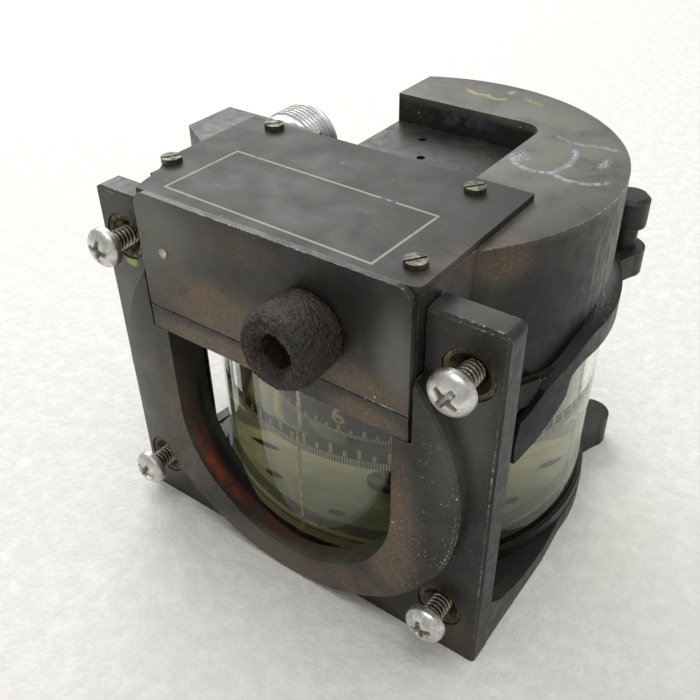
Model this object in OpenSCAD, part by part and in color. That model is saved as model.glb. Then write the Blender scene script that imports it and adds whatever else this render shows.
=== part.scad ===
// Panel mounted magnetic compass with a vertical card in a round glass bowl.
// The bowl stands between a flanged frame and a top casting. The casting carries the
// compensator and the lamp behind a front cover. Origin: bowl axis, at the underside.

/* [Flange] */
// Width of the panel flange
flange_w = 101.6; // [98:0.2:106]
// Height of the panel flange
flange_h = 90; // [88:0.5:91]
// Thickness of the panel flange
flange_t = 6; // [5.4:0.1:6.4]
// Distance from the bowl axis to the front face of the flange
flange_front = 49.5; // [49:0.1:50]
// Radius of the flange's top corners
flange_corner_r = 1.5; // [1:0.25:3]
// Width of the broken edge round the flange's front face
flange_chamfer = 0.6; // [0.3:0.1:1]
// Radius of the round bezel boss
boss_r = 45.9; // [44.5:0.1:47]
// How far the bezel boss stands out from the flange
boss_proud = 3.6; // [3:0.1:4.4]
// Width of the window
window_w = 60.6; // [56:0.2:62]
// Height of the centre of the window's round foot
window_z = 38.5; // [37:0.5:42]
// Width of the slot that the top casting fills
slot_w = 69.4; // [69:0.1:70.4]
// Height of the slot's lower edge
slot_z = 60.8; // [60.6:0.1:61.1]

/* [Panel screws] */
// Spacing of the panel screws across the flange
panel_dx = 87.2; // [84:0.2:90]
// Spacing of the panel screws up the flange
panel_dz = 66.4; // [62:0.2:68]
// Height of the middle of the screw pattern
panel_mid_z = 46; // [44:0.5:47]
// How far the lower right screw stands in from the corner of the pattern
panel_low_in = 2.4; // [0:0.2:2.4]
// How far the lower right screw stands above the corner of the pattern
panel_low_up = 0.6; // [0:0.1:1]
// Diameter of the panel screw's thread
panel_screw_d = 4.83; // [4.5:0.01:5]
// Diameter of the panel screw's pan head
panel_head_d = 9.2; // [8.6:0.1:9.8]
// Height of the panel screw's pan head
panel_head_h = 3.4; // [3:0.1:3.8]
// How far the panel screws are backed out of the flange
panel_screw_out = 5.1; // [4:0.1:6]
// Diameter of the seat for the threaded insert
insert_d = 11.2; // [10.6:0.1:11.4]
// Depth of the insert's face below the flange's face
insert_sunk = 0.3; // [0.2:0.1:0.6]
// Radius of the mouth of the insert's countersink
insert_mouth_r = 4.4; // [4:0.1:4.6]

/* [Base] */
// Radius of the base behind the flange
base_r = 49.8; // [49.7:0.1:50.4]
// Thickness of the base's rim
base_t = 5; // [4.4:0.2:5.6]
// Height of the floor of the bowl
bowl_floor_z = 7; // [6.6:0.1:7.4]
// Thickness of the floor of the bowl
bowl_floor_t = 2.4; // [2:0.1:2.8]
// Height of the side rail where it meets the flange
rail_h = 15.5; // [12:0.5:20]
// Width of the side rail
rail_w = 3; // [2.4:0.1:3.2]
// Radius of the round bottom cover
bottom_cover_r = 43.4; // [42:0.2:44]
// Thickness of the bottom cover
bottom_cover_t = 1.6; // [1.2:0.1:1.8]
// Inner radius of the diaphragm's clamping ring
clamp_ring_ri = 40; // [39:0.2:40.6]
// Thickness of the diaphragm's clamping ring
clamp_ring_t = 1; // [0.8:0.1:1.2]
// Thickness of the expansion diaphragm
diaphragm_t = 0.4; // [0.3:0.05:0.5]

/* [Bowl] */
// Outer radius of the glass
glass_r = 48.3; // [48:0.05:48.4]
// Wall of the glass
glass_t = 3; // [2.4:0.1:3.6]
// Height of the glass
glass_h = 50; // [49.6:0.1:50.4]
// Thickness of the gasket at each end of the glass
gasket_t = 1.5; // [1.2:0.1:1.8]
// Radial gap round the glass in its seats
glass_gap = 0.3; // [0.2:0.05:0.4]
// Wall of the lip round the foot of the glass
lip_t = 1; // [0.8:0.1:1.3]
// Height of the lip round the foot of the glass
lip_h = 1.7; // [1.6:0.1:2.4]

/* [Top casting] */
// Height of the casting's top face
top_z = 93; // [92.4:0.1:93.6]
// Radius of the casting's round wall
wall_r = 47.6; // [47:0.1:48]
// Outer radius of the rim round the head of the glass
rim_r = 50.6; // [50.3:0.05:50.8]
// Height of the rim's outer face above its seat for the gasket
rim_h = 5; // [4:0.1:5.6]
// Depth of the collar in front, below the seat for the gasket
collar_h = 6.5; // [5.5:0.1:7.5]
// Height of the chamber above the head gasket
chamber_h = 6; // [5:0.2:6.6]
// Half width of the compensator box
box_w = 68.6; // [68:0.1:69]
// Depth of the cable recess in the top face
recess_h = 7.5; // [6:0.5:8.5]
// Width of the cable recess
recess_w = 41; // [38:0.5:43]
// Height of the shelf under the connector
shelf_z = 68; // [67:0.5:70]
// Height of the compartment's floor
comp_z = 69.5; // [69.3:0.1:70]
// Height of the compartment
comp_h = 20.5; // [20:0.1:20.8]
// Width of the compartment
comp_w = 61.6; // [60.6:0.2:62]
// Distance from the bowl axis to the back of the compartment
comp_back = 14; // [12:0.5:15]

/* [Lugs] */
// Distance of each lug from the bowl axis
lug_d = 54; // [53.6:0.1:54.6]
// Angle of each lug from the cross axis
lug_angle = 42; // [41:0.5:43]
// Radius of the lugs
lug_r = 5.6; // [5.4:0.1:6]
// Height of the lugs on the base
foot_lug_h = 9; // [8:0.5:11]
// Height of the underside of the lugs on the top casting
head_lug_z = 57.5; // [57:0.5:58.5]
// Thickness of the lugs on the top casting
head_lug_t = 6.5; // [6:0.5:7.5]
// Diameter of the bores in the lugs
lug_bore_d = 4.5; // [4.2:0.1:4.8]
// Diameter of the cap screws in the rear lugs
cap_d = 9.4; // [8.6:0.1:10.2]
// Height of the cap screws' heads
cap_h = 7.7; // [6.5:0.1:9]

/* [Name plate] */
// Thickness of the plate on the top face
plate_t = 1.6; // [1.2:0.1:1.8]
// Distance from the bowl axis to the plate's rear edge
plate_back = 8.8; // [8.6:0.2:10.4]
// Diameter of the plate screws' heads
plate_head_d = 4.6; // [4.2:0.1:5]

/* [Front cover] */
// Width of the front cover
cover_w = 67.8; // [67.2:0.1:68]
// Height of the front cover
cover_h = 27.5; // [27:0.1:27.6]
// Thickness of the front cover
cover_t = 1.4; // [1.2:0.1:1.7]
// Radius of the front cover's top corners
cover_corner_r = 3.5; // [2:0.5:5]
// Place of the thumb screw across the cover
knob_x = 12; // [12:0.1:13]
// Height of the thumb screw
knob_z = 79.6; // [78.5:0.1:80.5]
// Radius of the rubber grip
knob_r = 8.7; // [8:0.1:9.2]
// Length of the rubber grip
knob_l = 11.9; // [10.5:0.1:13]
// Radius of the hole in the front of the grip
knob_hole_r = 3.6; // [3.2:0.1:4]
// Radius of the worn mouth of that hole
knob_mouth_r = 5.3; // [4.6:0.1:5.8]
// Radius of the thumb screw's shank
thumb_r = 2.6; // [2.3:0.05:2.8]

/* [Card] */
// Radius of the card's band
card_r = 36.5; // [36:0.1:38.4]
// Height of the card's band
card_h = 14; // [12:0.5:15]
// Height of the lower edge of the band
card_z = 32; // [31:0.5:33]
// Thickness of the card's band
card_t = 0.5; // [0.4:0.1:0.7]
// Radius of the float
float_r = 19; // [17:0.5:21]
// Radius of the bell inside the float
bell_r = 9; // [8.6:0.2:9.6]
// Height of the pivot point
pivot_z = 41; // [40.8:0.1:41.4]
// Length of the card's magnets
card_magnet_l = 40; // [34:1:44]
// Radius of the jewel post
post_r = 2; // [1.8:0.05:2.1]
// Radius of the lubber wire
lubber_r = 0.4; // [0.3:0.05:0.6]

/* [Compensator] */
// Module of the spur gears
gear_module = 0.6; // [0.58:0.01:0.62]
// Teeth on each spur gear
gear_teeth = 22; // [20:1:22]
// Width of the spur gears
gear_w = 3; // [2.4:0.2:3.6]
// Teeth on each mitre gear
mitre_teeth = 14; // [12:2:16]
// Pitch radius of each mitre gear at its large end
mitre_r = 4; // [3.8:0.05:4.2]
// Radius of the compensator's shafts
shaft_r = 1.2; // [1.1:0.05:1.3]
// Thickness of the compensator frame's plates
frame_t = 1.5; // [1.2:0.1:1.6]

/* [Connector] */
// Radius of the connector's shell
shell_r = 9.5; // [9:0.1:9.8]
// Length of the connector's shell
shell_l = 15; // [12:0.5:18]
// Place of the connector across the casting
conn_x = -37.5; // [-38:0.1:-37]
// Height of the connector
conn_z = 83; // [82.4:0.1:83.2]
// Radius of the connector's contact pins
contact_r = 1; // [0.8:0.05:1.2]
// Length of the contact pins that stands free
contact_l = 6; // [4:0.5:8]
// Distance of each contact pin from the connector's axis
contact_dx = 3.2; // [3:0.1:3.8]

/* [Clearances] */
// Radial clearance of a running or sliding fit
run_gap = 0.06; // [0.04:0.01:0.08]
// Gap round a cover in its opening
seat_gap = 0.1; // [0.08:0.01:0.15]

/* [Hidden] */
$fn = 96;
eps = 0.02;

// Faces of the flange and the box along the sight line (front is -Y)
face_y = -flange_front;
flange_back = face_y + flange_t;
boss_y = face_y - boss_proud;
boss_z = boss_r + 0.1;
base_side = flange_w / 2 - 0.2;
cover_gap_y = 0.1;
cover_y = boss_y - 0.2;
box_y = cover_y + cover_t + cover_gap_y;
box_z = slot_z + 0.4;
strip_top = box_z + 5.9;
cover_z = strip_top + 0.3;

// Heights in the bowl, from the floor up
glass_z = bowl_floor_z + gasket_t;
glass_top = glass_z + glass_h;
seat_z = glass_top + gasket_t;
ceiling_z = seat_z + chamber_h;
glass_ri = glass_r - glass_t;
lip_ri = glass_r + glass_gap;
gasket_ri = glass_ri - 0.5;
gasket_ro = glass_r + 0.2;

// Recess under the floor, from the underside up
clamp_z = bottom_cover_t;
diaphragm_z = clamp_z + clamp_ring_t;
ledge_z = diaphragm_z + diaphragm_t;
cover_seat_r = bottom_cover_r + 0.2;
vent_r = 1.5;
bottom_screw_ring = (clamp_ring_ri + bottom_cover_r) / 2;
bottom_screw_r = 0.8;

// Lugs
lug_x = lug_d * cos(lug_angle);
lug_y = lug_d * sin(lug_angle);
lug_flare = 28;
tie_lug_z = head_lug_z - 3.5;
tie_lug_t = head_lug_t + 1.5;
tie_r = lug_bore_d / 2 - 0.2;
tie_head_r = 3.6;
tie_head_h = 2.6;
nut_r = 4;
nut_h = 4.4;
cap_neck_r = lug_d - rim_r - 0.2;
cap_neck_h = 6.2;
low_head_h = 3.5;
cap_edge = 1;
rear_bore_h = foot_lug_h - 1;

// Shape of the plate on the top face
plate_front = box_y + 0.1;
plate_left = 39.5;
plate_right = box_w / 2;
plate_corner_r = 2;
wing_front = 43;
wing_z = 68.6;
plate_screw_r = 1.42;
plate_head_h = 1.3;
plate_screws_at = [[-37, -38.6], [-30.5, -11.9], [24, -14.6], [29.6, -45.4]];

// Connector block on the casting's left shoulder
block_left = 51.6;
block_front = 26;
block_back = 4.5;
block_z = 71;
shell_wall = 1.7;
insert_r = shell_r - shell_wall;
conn_bore_depth = 9;
insert_y = -block_back + 6;
lead_z = 87.4;
lead_y = -17;
lead_r = 0.8;

// Cable recess
recess_right = 19.5;
recess_left = recess_right - recess_w;
recess_back = 27.3;
recess_z = top_z - recess_h;
recess_corner_r = 5;
clamp_hole_r = 1.1;
clamp_hole_depth = 6;
clamp_holes_at = [[-9.8, 20.2], [-4.3, 10.7]];

// Thumb screw
pillar_w = 8;
pillar_l = 7;
grip_back = cover_y - 0.4;
grip_front = grip_back - knob_l;
core_r = 4.6;
core_front = grip_back - 5.6;
washer_r = 6;
washer_h = 0.8;
thumb_tip = box_y + pillar_l + 0.6;
clip_y = box_y - cover_gap_y + 0.1;
clip_t = 0.6;
clip_r = 4.2;
pillar_y = box_y + clip_t + 0.4;

// Dowel and its pad
dowel_x = -27;
dowel_z = 82.1;
dowel_r = 1.2;
pad_w = 2 * dowel_r + 1.4;
pad_l = 3;

// Filler plug and lamp in the right hand bay
plug_at = [26, -22];
plug_r = 2.5;
plug_head_r = 3.8;
washer_t = 0.5;
lamp_at = [20.5, -33];
lamp_port_r = 3.2;
lamp_seat_r = 4;
lamp_glass_t = 1.6;
socket_r = 5.4;
socket_l = 9;
comp_top = comp_z + comp_h;

// Card
card_top = card_z + card_h;
float_z = card_z - 1;
float_top = card_top - 1;
web_t = 0.6;
bell_top = pivot_z + 2.5;
pin_r = 0.8;
tip_r = 0.8;
pin_top = float_top + 3;
ferrule_r = 3;
magnet_w = 2.8;
magnet_y = 11;
stem_r = 3.2;
stem_foot_r = 6;
stem_top = 24;
post_foot = 16;
spring_z = 10;
collar_r = 3;
jewel_r = 1.3;
jewel_t = 1.6;
jewel_top = pivot_z + 0.2;

// Compensator, from the front plate back
fit_r = shaft_r + run_gap;
gear_r = gear_module * gear_teeth / 2;
comp_front = box_y + pad_l + 0.4;
gear_y = comp_front + frame_t + 1;
magnet_front = gear_y + gear_w + 1;
bar_t = 5;
bar_w = 3;
mid_y = magnet_front + bar_t + 1;
axis_z = comp_z + comp_h / 2;
ew_mid_x = -16;
ew_x = ew_mid_x - gear_r;
idler_x = ew_mid_x + gear_r;
ns_x = 3;
ns_y = mid_y + frame_t + 1.4 + mitre_r + 1;
mitre_w = 1.8;
comp_left = -30;
comp_right = 7.6;
ear_near = ns_x - mitre_r - 3.4;
ear_far = comp_left;
frame_foot_z = comp_z + 0.02;
bar_half = 5.6;
head_l = 1.6;
head_r = 2.2;

// Rounded rectangle, its corners as true arcs; only the top two are round
module top_rounded(w, h, r) {
    translate([-w / 2, 0]) square([w, h - r]);
    translate([-w / 2 + r, 0]) square([w - 2 * r, h]);
    for (s = [-1, 1]) translate([s * (w / 2 - r), h - r]) circle(r = r);
}

// Stands a flat outline up, facing the front, from y0 back to y1
module facing(y0, y1) {
    translate([0, y1, 0]) rotate([90, 0, 0]) linear_extrude(y1 - y0) children();
}

// Rod along Y
module rod_y(r, y0, y1, x = 0, z = 0) {
    translate([x, y1, z]) rotate([90, 0, 0]) cylinder(r = r, h = y1 - y0);
}

// Rod along X
module rod_x(r, x0, x1, y = 0, z = 0) {
    translate([x0, y, z]) rotate([0, 90, 0]) cylinder(r = r, h = x1 - x0);
}

// Upright tube
module tube(ro, ri, h) {
    difference() {
        cylinder(r = ro, h = h);
        translate([0, 0, -1]) cylinder(r = ri, h = h + 2);
    }
}

module at_lugs(front = false, back = false) {
    if (front) for (s = [-1, 1]) translate([s * lug_x, -lug_y, 0]) children();
    if (back) for (s = [-1, 1]) translate([s * lug_x, lug_y, 0]) children();
}

// Rear lug and its web, which widens towards the bowl like a drop
module rear_lugs(h) {
    r = lug_r - 0.2;
    tip = lug_d + r * sin(lug_flare);
    root = glass_r - 3.3;
    half = r * cos(lug_flare);
    root_half = half + (tip - root) * tan(lug_flare);
    for (s = [-1, 1]) rotate([0, 0, s > 0 ? lug_angle : 180 - lug_angle]) linear_extrude(h) {
        translate([lug_d, 0]) circle(r = lug_r);
        polygon([[root, -root_half], [tip, -half], [tip, half], [root, root_half]]);
    }
}

// Pattern of the panel screws; the lower right one stands a little inside its corner
module panel_places() {
    for (sx = [-1, 1], sz = [-1, 1]) {
        odd = sx > 0 && sz < 0 ? 1 : 0;
        translate([sx * panel_dx / 2 - odd * panel_low_in, 0,
            panel_mid_z + sz * panel_dz / 2 + odd * panel_low_up]) children();
    }
}

// Flange, bezel boss, base and side rails: one sand casting, machined
module frame_body() {
    facing(face_y, flange_back) top_rounded(flange_w, flange_h, flange_corner_r);
    rod_y(boss_r, boss_y + flange_chamfer, face_y + 1, 0, boss_z);
    translate([0, boss_y + flange_chamfer, boss_z]) rotate([90, 0, 0])
        cylinder(r1 = boss_r, r2 = boss_r - flange_chamfer, h = flange_chamfer);
    linear_extrude(base_t) {
        circle(r = base_r);
        polygon([[-base_side, flange_back - 1], [base_side, flange_back - 1], [base_side, -14],
            [base_r - 0.3, 0], [-base_r + 0.3, 0], [-base_side, -14]]);
    }
    cylinder(r = lip_ri + lip_t, h = bowl_floor_z + lip_h);
    for (s = [-1, 1]) side_rail(s);
    rear_lugs(foot_lug_h);
    at_lugs(front = true) cylinder(r = lug_r - 1, h = foot_lug_h + 3);
}

// Rail that braces the flange, high at the flange and low behind
module side_rail(s) {
    outer = base_side - 0.05;
    translate([s > 0 ? outer - rail_w : -outer, 0, 0]) rotate([90, 0, 90])
        linear_extrude(rail_w) polygon([[flange_back - 1, rail_h],
            [flange_back + 6, rail_h * 0.62], [flange_back + 16, rail_h * 0.38],
            [-14, base_t - 0.5], [-14, 1], [flange_back - 1, 1]]);
}

module main_frame() {
    color([0.16, 0.16, 0.17]) difference() {
        frame_body();
        // window and slot
        facing(boss_y - 1, flange_back + 1) {
            translate([0, window_z]) circle(r = window_w / 2);
            translate([-window_w / 2, window_z]) square([window_w, slot_z - window_z + 1]);
            translate([-slot_w / 2, slot_z]) square([slot_w, flange_h]);
        }
        // pocket that clears the front of the glass
        translate([0, 0, bowl_floor_z]) cylinder(r = lip_ri, h = flange_h);
        // broken edges
        for (s = [-1, 1]) translate([s * flange_w / 2, face_y, flange_h / 2])
            rotate([0, 0, 45]) cube([flange_chamfer * sqrt(2), flange_chamfer * sqrt(2),
                flange_h + 2], center = true);
        translate([0, face_y, flange_h]) rotate([45, 0, 0])
            cube([flange_w + 2, flange_chamfer * sqrt(2), flange_chamfer * sqrt(2)], center = true);
        // seats for the threaded inserts
        panel_places() rod_y(insert_d / 2, face_y - 1, flange_back + 1);
        // recess for the diaphragm, and the holes that let the liquid reach it
        translate([0, 0, -1]) cylinder(r = cover_seat_r, h = ledge_z + 1);
        translate([0, 0, -1]) cylinder(r = clamp_ring_ri, h = bowl_floor_z - bowl_floor_t + 1);
        for (a = [0:45:315]) rotate([0, 0, a]) translate([24, 0, 0]) cylinder(r = 1.8, h = 12);
        for (a = [0:60:300]) rotate([0, 0, a]) translate([bottom_screw_ring, 0, 0])
            cylinder(r = bottom_screw_r, h = ledge_z + 2);
        // lug bores and the tie bolts' head pockets
        at_lugs(front = true) translate([0, 0, -1]) cylinder(r = lug_bore_d / 2, h = 30);
        at_lugs(back = true) translate([0, 0, -1]) cylinder(r = lug_bore_d / 2, h = rear_bore_h + 1);
        at_lugs(front = true) translate([0, 0, -1]) cylinder(r = tie_head_r + 0.3, h = tie_head_h + 1.2);
    }
}

module screw_inserts() {
    bore_r = panel_screw_d / 2 + run_gap;
    sink_h = insert_mouth_r - bore_r;
    insert_y0 = face_y + insert_sunk;
    color([0.55, 0.47, 0.33]) panel_places() difference() {
        union() {
            rod_y(insert_d / 2, insert_y0 + 0.5, flange_back);
            rod_y(insert_d / 2 - 0.25, insert_y0, insert_y0 + 1);
        }
        rod_y(bore_r, face_y, flange_back + 1);
        translate([0, insert_y0 + sink_h + 0.4, 0]) rotate([90, 0, 0])
            cylinder(r1 = bore_r - 0.4, r2 = insert_mouth_r + 0.1, h = sink_h + 0.5);
    }
}

module panel_screws() {
    color("silver") panel_places() {
        head_y = face_y - panel_screw_out;
        rod_y(panel_screw_d / 2, head_y - 0.1, flange_back + 1.5);
        difference() {
            translate([0, head_y, 0]) rotate([90, 0, 0]) pan_head(panel_head_d / 2, panel_head_h);
            translate([0, head_y - panel_head_h, 0]) for (a = [0, 90]) rotate([0, a + 20, 0])
                cube([panel_head_d * 0.58, panel_head_h * 0.8, 1.3], center = true);
        }
    }
}

// Domed head: a straight wall with a rounded crown
module pan_head(r, h) {
    crown = h * 0.7;
    ball = (r * r + crown * crown) / (2 * crown);
    cylinder(r = r, h = h - crown);
    intersection() {
        translate([0, 0, h - ball]) sphere(r = ball);
        cylinder(r = r, h = h);
    }
}

// Corrugated disc that takes up the liquid's expansion
module expansion_diaphragm() {
    wave = 0.55;
    step = 4;
    color([0.72, 0.62, 0.36]) difference() {
        translate([0, 0, diaphragm_z]) rotate_extrude() {
            translate([clamp_ring_ri - 1.4, 0]) square([bottom_cover_r - clamp_ring_ri + 1.4, diaphragm_t]);
            square([14.6, diaphragm_t]);
            for (r = [14.6:step:clamp_ring_ri - 2]) polygon([[r, 0], [r + step / 2, -wave],
                [r + step, 0], [r + step, diaphragm_t], [r + step / 2, diaphragm_t - wave],
                [r, diaphragm_t]]);
        }
        bottom_screw_holes();
    }
}

module clamp_ring() {
    color("silver") difference() {
        translate([0, 0, clamp_z]) tube(bottom_cover_r, clamp_ring_ri, clamp_ring_t);
        bottom_screw_holes();
    }
}

module bottom_screw_holes() {
    for (a = [0:60:300]) rotate([0, 0, a]) translate([bottom_screw_ring, 0, -1])
        cylinder(r = bottom_screw_r, h = 9);
}

module bottom_cover() {
    color([0.2, 0.2, 0.21]) difference() {
        cylinder(r = bottom_cover_r, h = bottom_cover_t);
        bottom_screw_holes();
        for (a = [0:60:300]) rotate([0, 0, a]) translate([bottom_screw_ring, 0, -eps])
            cylinder(r1 = 1.5, r2 = bottom_screw_r, h = 0.9);
        for (a = [30, 210]) rotate([0, 0, a]) translate([20, 0, -1])
            cylinder(r = vent_r, h = bottom_cover_t + 2);
    }
}

module bottom_screws() {
    color("silver") for (a = [0:60:300]) rotate([0, 0, a]) translate([bottom_screw_ring, 0, 0])
        difference() {
            union() {
                cylinder(r = bottom_screw_r - 0.02, h = ledge_z + 1.6);
                translate([0, 0, 0.05]) cylinder(r1 = 1.4, r2 = bottom_screw_r - 0.02, h = 0.8);
            }
            cube([3.4, 0.4, 0.8], center = true);
        }
}

module lower_gasket() {
    color([0.12, 0.1, 0.09]) translate([0, 0, bowl_floor_z]) tube(gasket_ro, gasket_ri, gasket_t);
}

module glass_bowl() {
    color([0.75, 0.8, 0.7, 0.4]) translate([0, 0, glass_z]) tube(glass_r, glass_ri, glass_h);
}

module upper_gasket() {
    color([0.12, 0.1, 0.09]) translate([0, 0, glass_top]) tube(gasket_ro, gasket_ri, gasket_t);
}

// Round wall, box, shoulder block, rim, arms and lugs, before any pocket is cut
module casting_body() {
    intersection() {
        translate([0, 0, seat_z - collar_h]) cylinder(r = lip_ri + 1, h = collar_h);
        translate([-lug_d, -lug_d, 0]) cube([2 * lug_d, lug_d - 20, top_z]);
    }
    casting_rim();
    translate([0, 0, seat_z - 0.5]) cylinder(r = wall_r, h = top_z - seat_z + 0.5);
    translate([-box_w / 2, box_y, box_z]) cube([box_w, -box_y - 10, top_z - box_z]);
    translate([-cover_w / 2, cover_y, box_z]) cube([cover_w, 4, strip_top - box_z]);
    translate([-plate_left, -wing_front, wing_z])
        cube([plate_left - 20, wing_front - block_back, top_z - wing_z]);
    connector_block();
    at_lugs(front = true) translate([0, 0, tie_lug_z]) cylinder(r = lug_r, h = tie_lug_t);
    for (s = [-1, 1]) rotate([0, 0, s > 0 ? -lug_angle : 180 + lug_angle])
        translate([glass_r - 2, -lug_r + 1, seat_z]) cube([lug_d - glass_r + 2, 2 * lug_r - 2, 2]);
    translate([0, 0, head_lug_z]) rear_lugs(head_lug_t);
}

// Shoulder that carries the connector, sloped below like a cast corbel
module connector_block() {
    intersection() {
        translate([0, 0, block_z]) linear_extrude(top_z - block_z) polygon([[-20, -block_front],
            [-plate_left, -block_front], [-block_left, -block_front + 7], [-block_left, -block_back],
            [-20, -block_back]]);
        rotate([90, 0, 0]) translate([0, 0, 0]) linear_extrude(60) polygon([[-20, block_z - 1],
            [-plate_left, block_z - 1], [-block_left, block_z + 10], [-block_left, top_z],
            [-20, top_z]]);
    }
}

// Rim with a hollow sweep up to the wall; on each side it runs down into a curved arm
module casting_rim() {
    top = seat_z + rim_h;
    root = glass_r - 3;
    sweep_w = rim_r - wall_r + 0.1;
    sweep_h = 5;
    intersection() {
        rotate_extrude() polygon(concat([[root, seat_z - 24], [rim_r, seat_z - 24]],
            [for (a = [90:-15:0]) [rim_r - sweep_w * cos(a), top + sweep_h * (1 - sin(a))]],
            [[root, top + sweep_h]]));
        rotate([90, 0, 90]) translate([0, 0, -1.5 * rim_r]) linear_extrude(3 * rim_r)
            polygon([for (p = rim_side) [p[0], seat_z + p[1]]]);
    }
}

// Side view of the rim and the arm: distance behind the bowl's axis, height above the seat
rim_side = [[70, -1.2], [-8, -0.9], [-10.3, -1.9], [-11.8, -3.1], [-12.2, -4.8], [-12.8, -8.1],
    [-15.9, -12.2], [-20.1, -17], [-24.8, -21.6], [-25.1, -16.2], [-24.6, -10], [-22.2, -7.2],
    [-19.3, -3.2], [-16.6, -1.1], [-9, 3.4], [0, 7.5], [6, 11], [70, 11]];

module top_casting() {
    color([0.17, 0.17, 0.18]) difference() {
        casting_body();
        // seat for the head of the glass, and the chamber above it
        translate([0, 0, 20]) cylinder(r = lip_ri, h = seat_z - 20);
        translate([0, 0, seat_z - 1]) cylinder(r = gasket_ri - 0.3, h = chamber_h + 1);
        // the rim is cut away where the window shows the glass
        translate([-window_w / 2 - 1, -lug_d, 20]) cube([window_w + 2, 24, glass_top - 0.7 - 20]);
        // compartment for the compensator and the lamp, open at the front
        difference() {
            translate([-comp_w / 2, box_y - 1, comp_z])
                cube([comp_w, -box_y - comp_back + 1, comp_h]);
            translate([knob_x - pillar_w / 2, pillar_y, comp_z - 1])
                cube([pillar_w, box_y + pillar_l - pillar_y, comp_h + 2]);
            translate([-comp_w / 2 - 1, box_y, dowel_z - pad_w / 2])
                cube([pad_w + 1 + comp_w / 2 + dowel_x - pad_w / 2, pad_l, pad_w]);
        }
        // cable recess
        translate([0, 0, recess_z]) linear_extrude(recess_h + 1) {
            translate([recess_left - 1, -plate_back]) square([recess_w + 1 - recess_corner_r, recess_back + plate_back]);
            translate([recess_left - 1, -plate_back]) square([recess_w + 1, recess_back + plate_back - recess_corner_r]);
            translate([recess_right - recess_corner_r, recess_back - recess_corner_r]) circle(r = recess_corner_r);
        }
        for (p = clamp_holes_at) translate([p[0], p[1], recess_z - clamp_hole_depth])
            cylinder(r = clamp_hole_r, h = clamp_hole_depth + 1);
        // room for the plug on the connector
        translate([-70, -block_back, shelf_z]) cube([70 + recess_left, 70, top_z]);
        rod_y(insert_r, -block_back - conn_bore_depth, 0, conn_x, conn_z);
        rod_x(lead_r * 2, conn_x - lead_r * 2, -comp_w / 2 + 1, lead_y, lead_z);
        rod_y(lead_r * 2, lead_y - lead_r * 2, -block_back, conn_x, lead_z);
        // screw and pin holes
        rod_y(thumb_r + run_gap, box_y - 1, thumb_tip + 0.8, knob_x, knob_z);
        rod_y(dowel_r + run_gap, box_y - 1, box_y + pad_l - 0.4, dowel_x, dowel_z);
        for (p = plate_screws_at) translate([p[0], p[1], top_z - 2.4]) cylinder(r = plate_screw_r, h = 4);
        translate([plug_at[0], plug_at[1], ceiling_z - 2]) cylinder(r = plug_r, h = 9);
        translate([lamp_at[0], lamp_at[1], ceiling_z - 2]) cylinder(r = lamp_port_r, h = 9);
        translate([lamp_at[0], lamp_at[1], comp_z - lamp_glass_t - 0.2]) cylinder(r = lamp_seat_r, h = 4);
        at_lugs(front = true, back = true) translate([0, 0, 40]) cylinder(r = lug_bore_d / 2, h = head_lug_z + head_lug_t - 40 + eps);
        for (x = comp_screws_x) translate([x, comp_screw_y, comp_z - 2]) cylinder(r = comp_screw_r, h = 3);
    }
}

module tie_bolts() {
    color([0.3, 0.3, 0.3]) at_lugs(front = true) {
        translate([0, 0, 0.2]) cylinder(r = tie_head_r, h = tie_head_h);
        translate([0, 0, 1]) cylinder(r = tie_r, h = tie_lug_z + tie_lug_t + nut_h - 2);
    }
}

module tie_nuts() {
    color([0.25, 0.25, 0.25]) at_lugs(front = true) translate([0, 0, tie_lug_z + tie_lug_t])
        difference() {
            cylinder(r = nut_r, h = nut_h, $fn = 6);
            translate([0, 0, -1]) cylinder(r = tie_r, h = nut_h);
        }
}

module lug_cap_screws() {
    color([0.14, 0.14, 0.14]) for (s = [-1, 1]) translate([s * lug_x, lug_y, head_lug_z + head_lug_t]) {
        translate([0, 0, -head_lug_t + 1]) cylinder(r = lug_bore_d / 2 - 0.05, h = head_lug_t);
        cylinder(r = cap_neck_r, h = s > 0 ? cap_neck_h + 0.1 : low_head_h);
        if (s > 0) translate([0, 0, cap_neck_h]) cylinder(r = cap_d / 2, h = cap_h - cap_edge);
        if (s > 0) translate([0, 0, cap_neck_h + cap_h - cap_edge])
            cylinder(r1 = cap_d / 2, r2 = cap_d / 2 - cap_edge, h = cap_edge);
    }
}

module name_plate() {
    color([0.2, 0.2, 0.2]) difference() {
        translate([0, 0, top_z]) linear_extrude(plate_t) polygon([[-cover_w / 2 - 0.4, plate_front],
            [plate_right - plate_corner_r, plate_front], [plate_right - plate_corner_r * 0.5, plate_front + plate_corner_r * 0.134],
            [plate_right - plate_corner_r * 0.134, plate_front + plate_corner_r * 0.5], [plate_right, plate_front + plate_corner_r],
            [plate_right, -plate_back], [-plate_left, -plate_back],
            [-plate_left, -wing_front + 5], [-plate_left + 3, -wing_front]]);
        for (p = plate_screws_at) translate([p[0], p[1], top_z - 1]) cylinder(r = plate_screw_r + 0.1, h = 4);
    }
}

module plate_screws() {
    color([0.5, 0.49, 0.43]) for (p = plate_screws_at) translate([p[0], p[1], top_z]) difference() {
        union() {
            translate([0, 0, -2.2]) cylinder(r = plate_screw_r - 0.02, h = 4);
            translate([0, 0, plate_t]) cylinder(r = plate_head_d / 2, h = plate_head_h);
        }
        translate([0, 0, plate_t + plate_head_h]) rotate([0, 0, 55])
            cube([plate_head_d + 1, 0.6, 1], center = true);
    }
}

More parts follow.
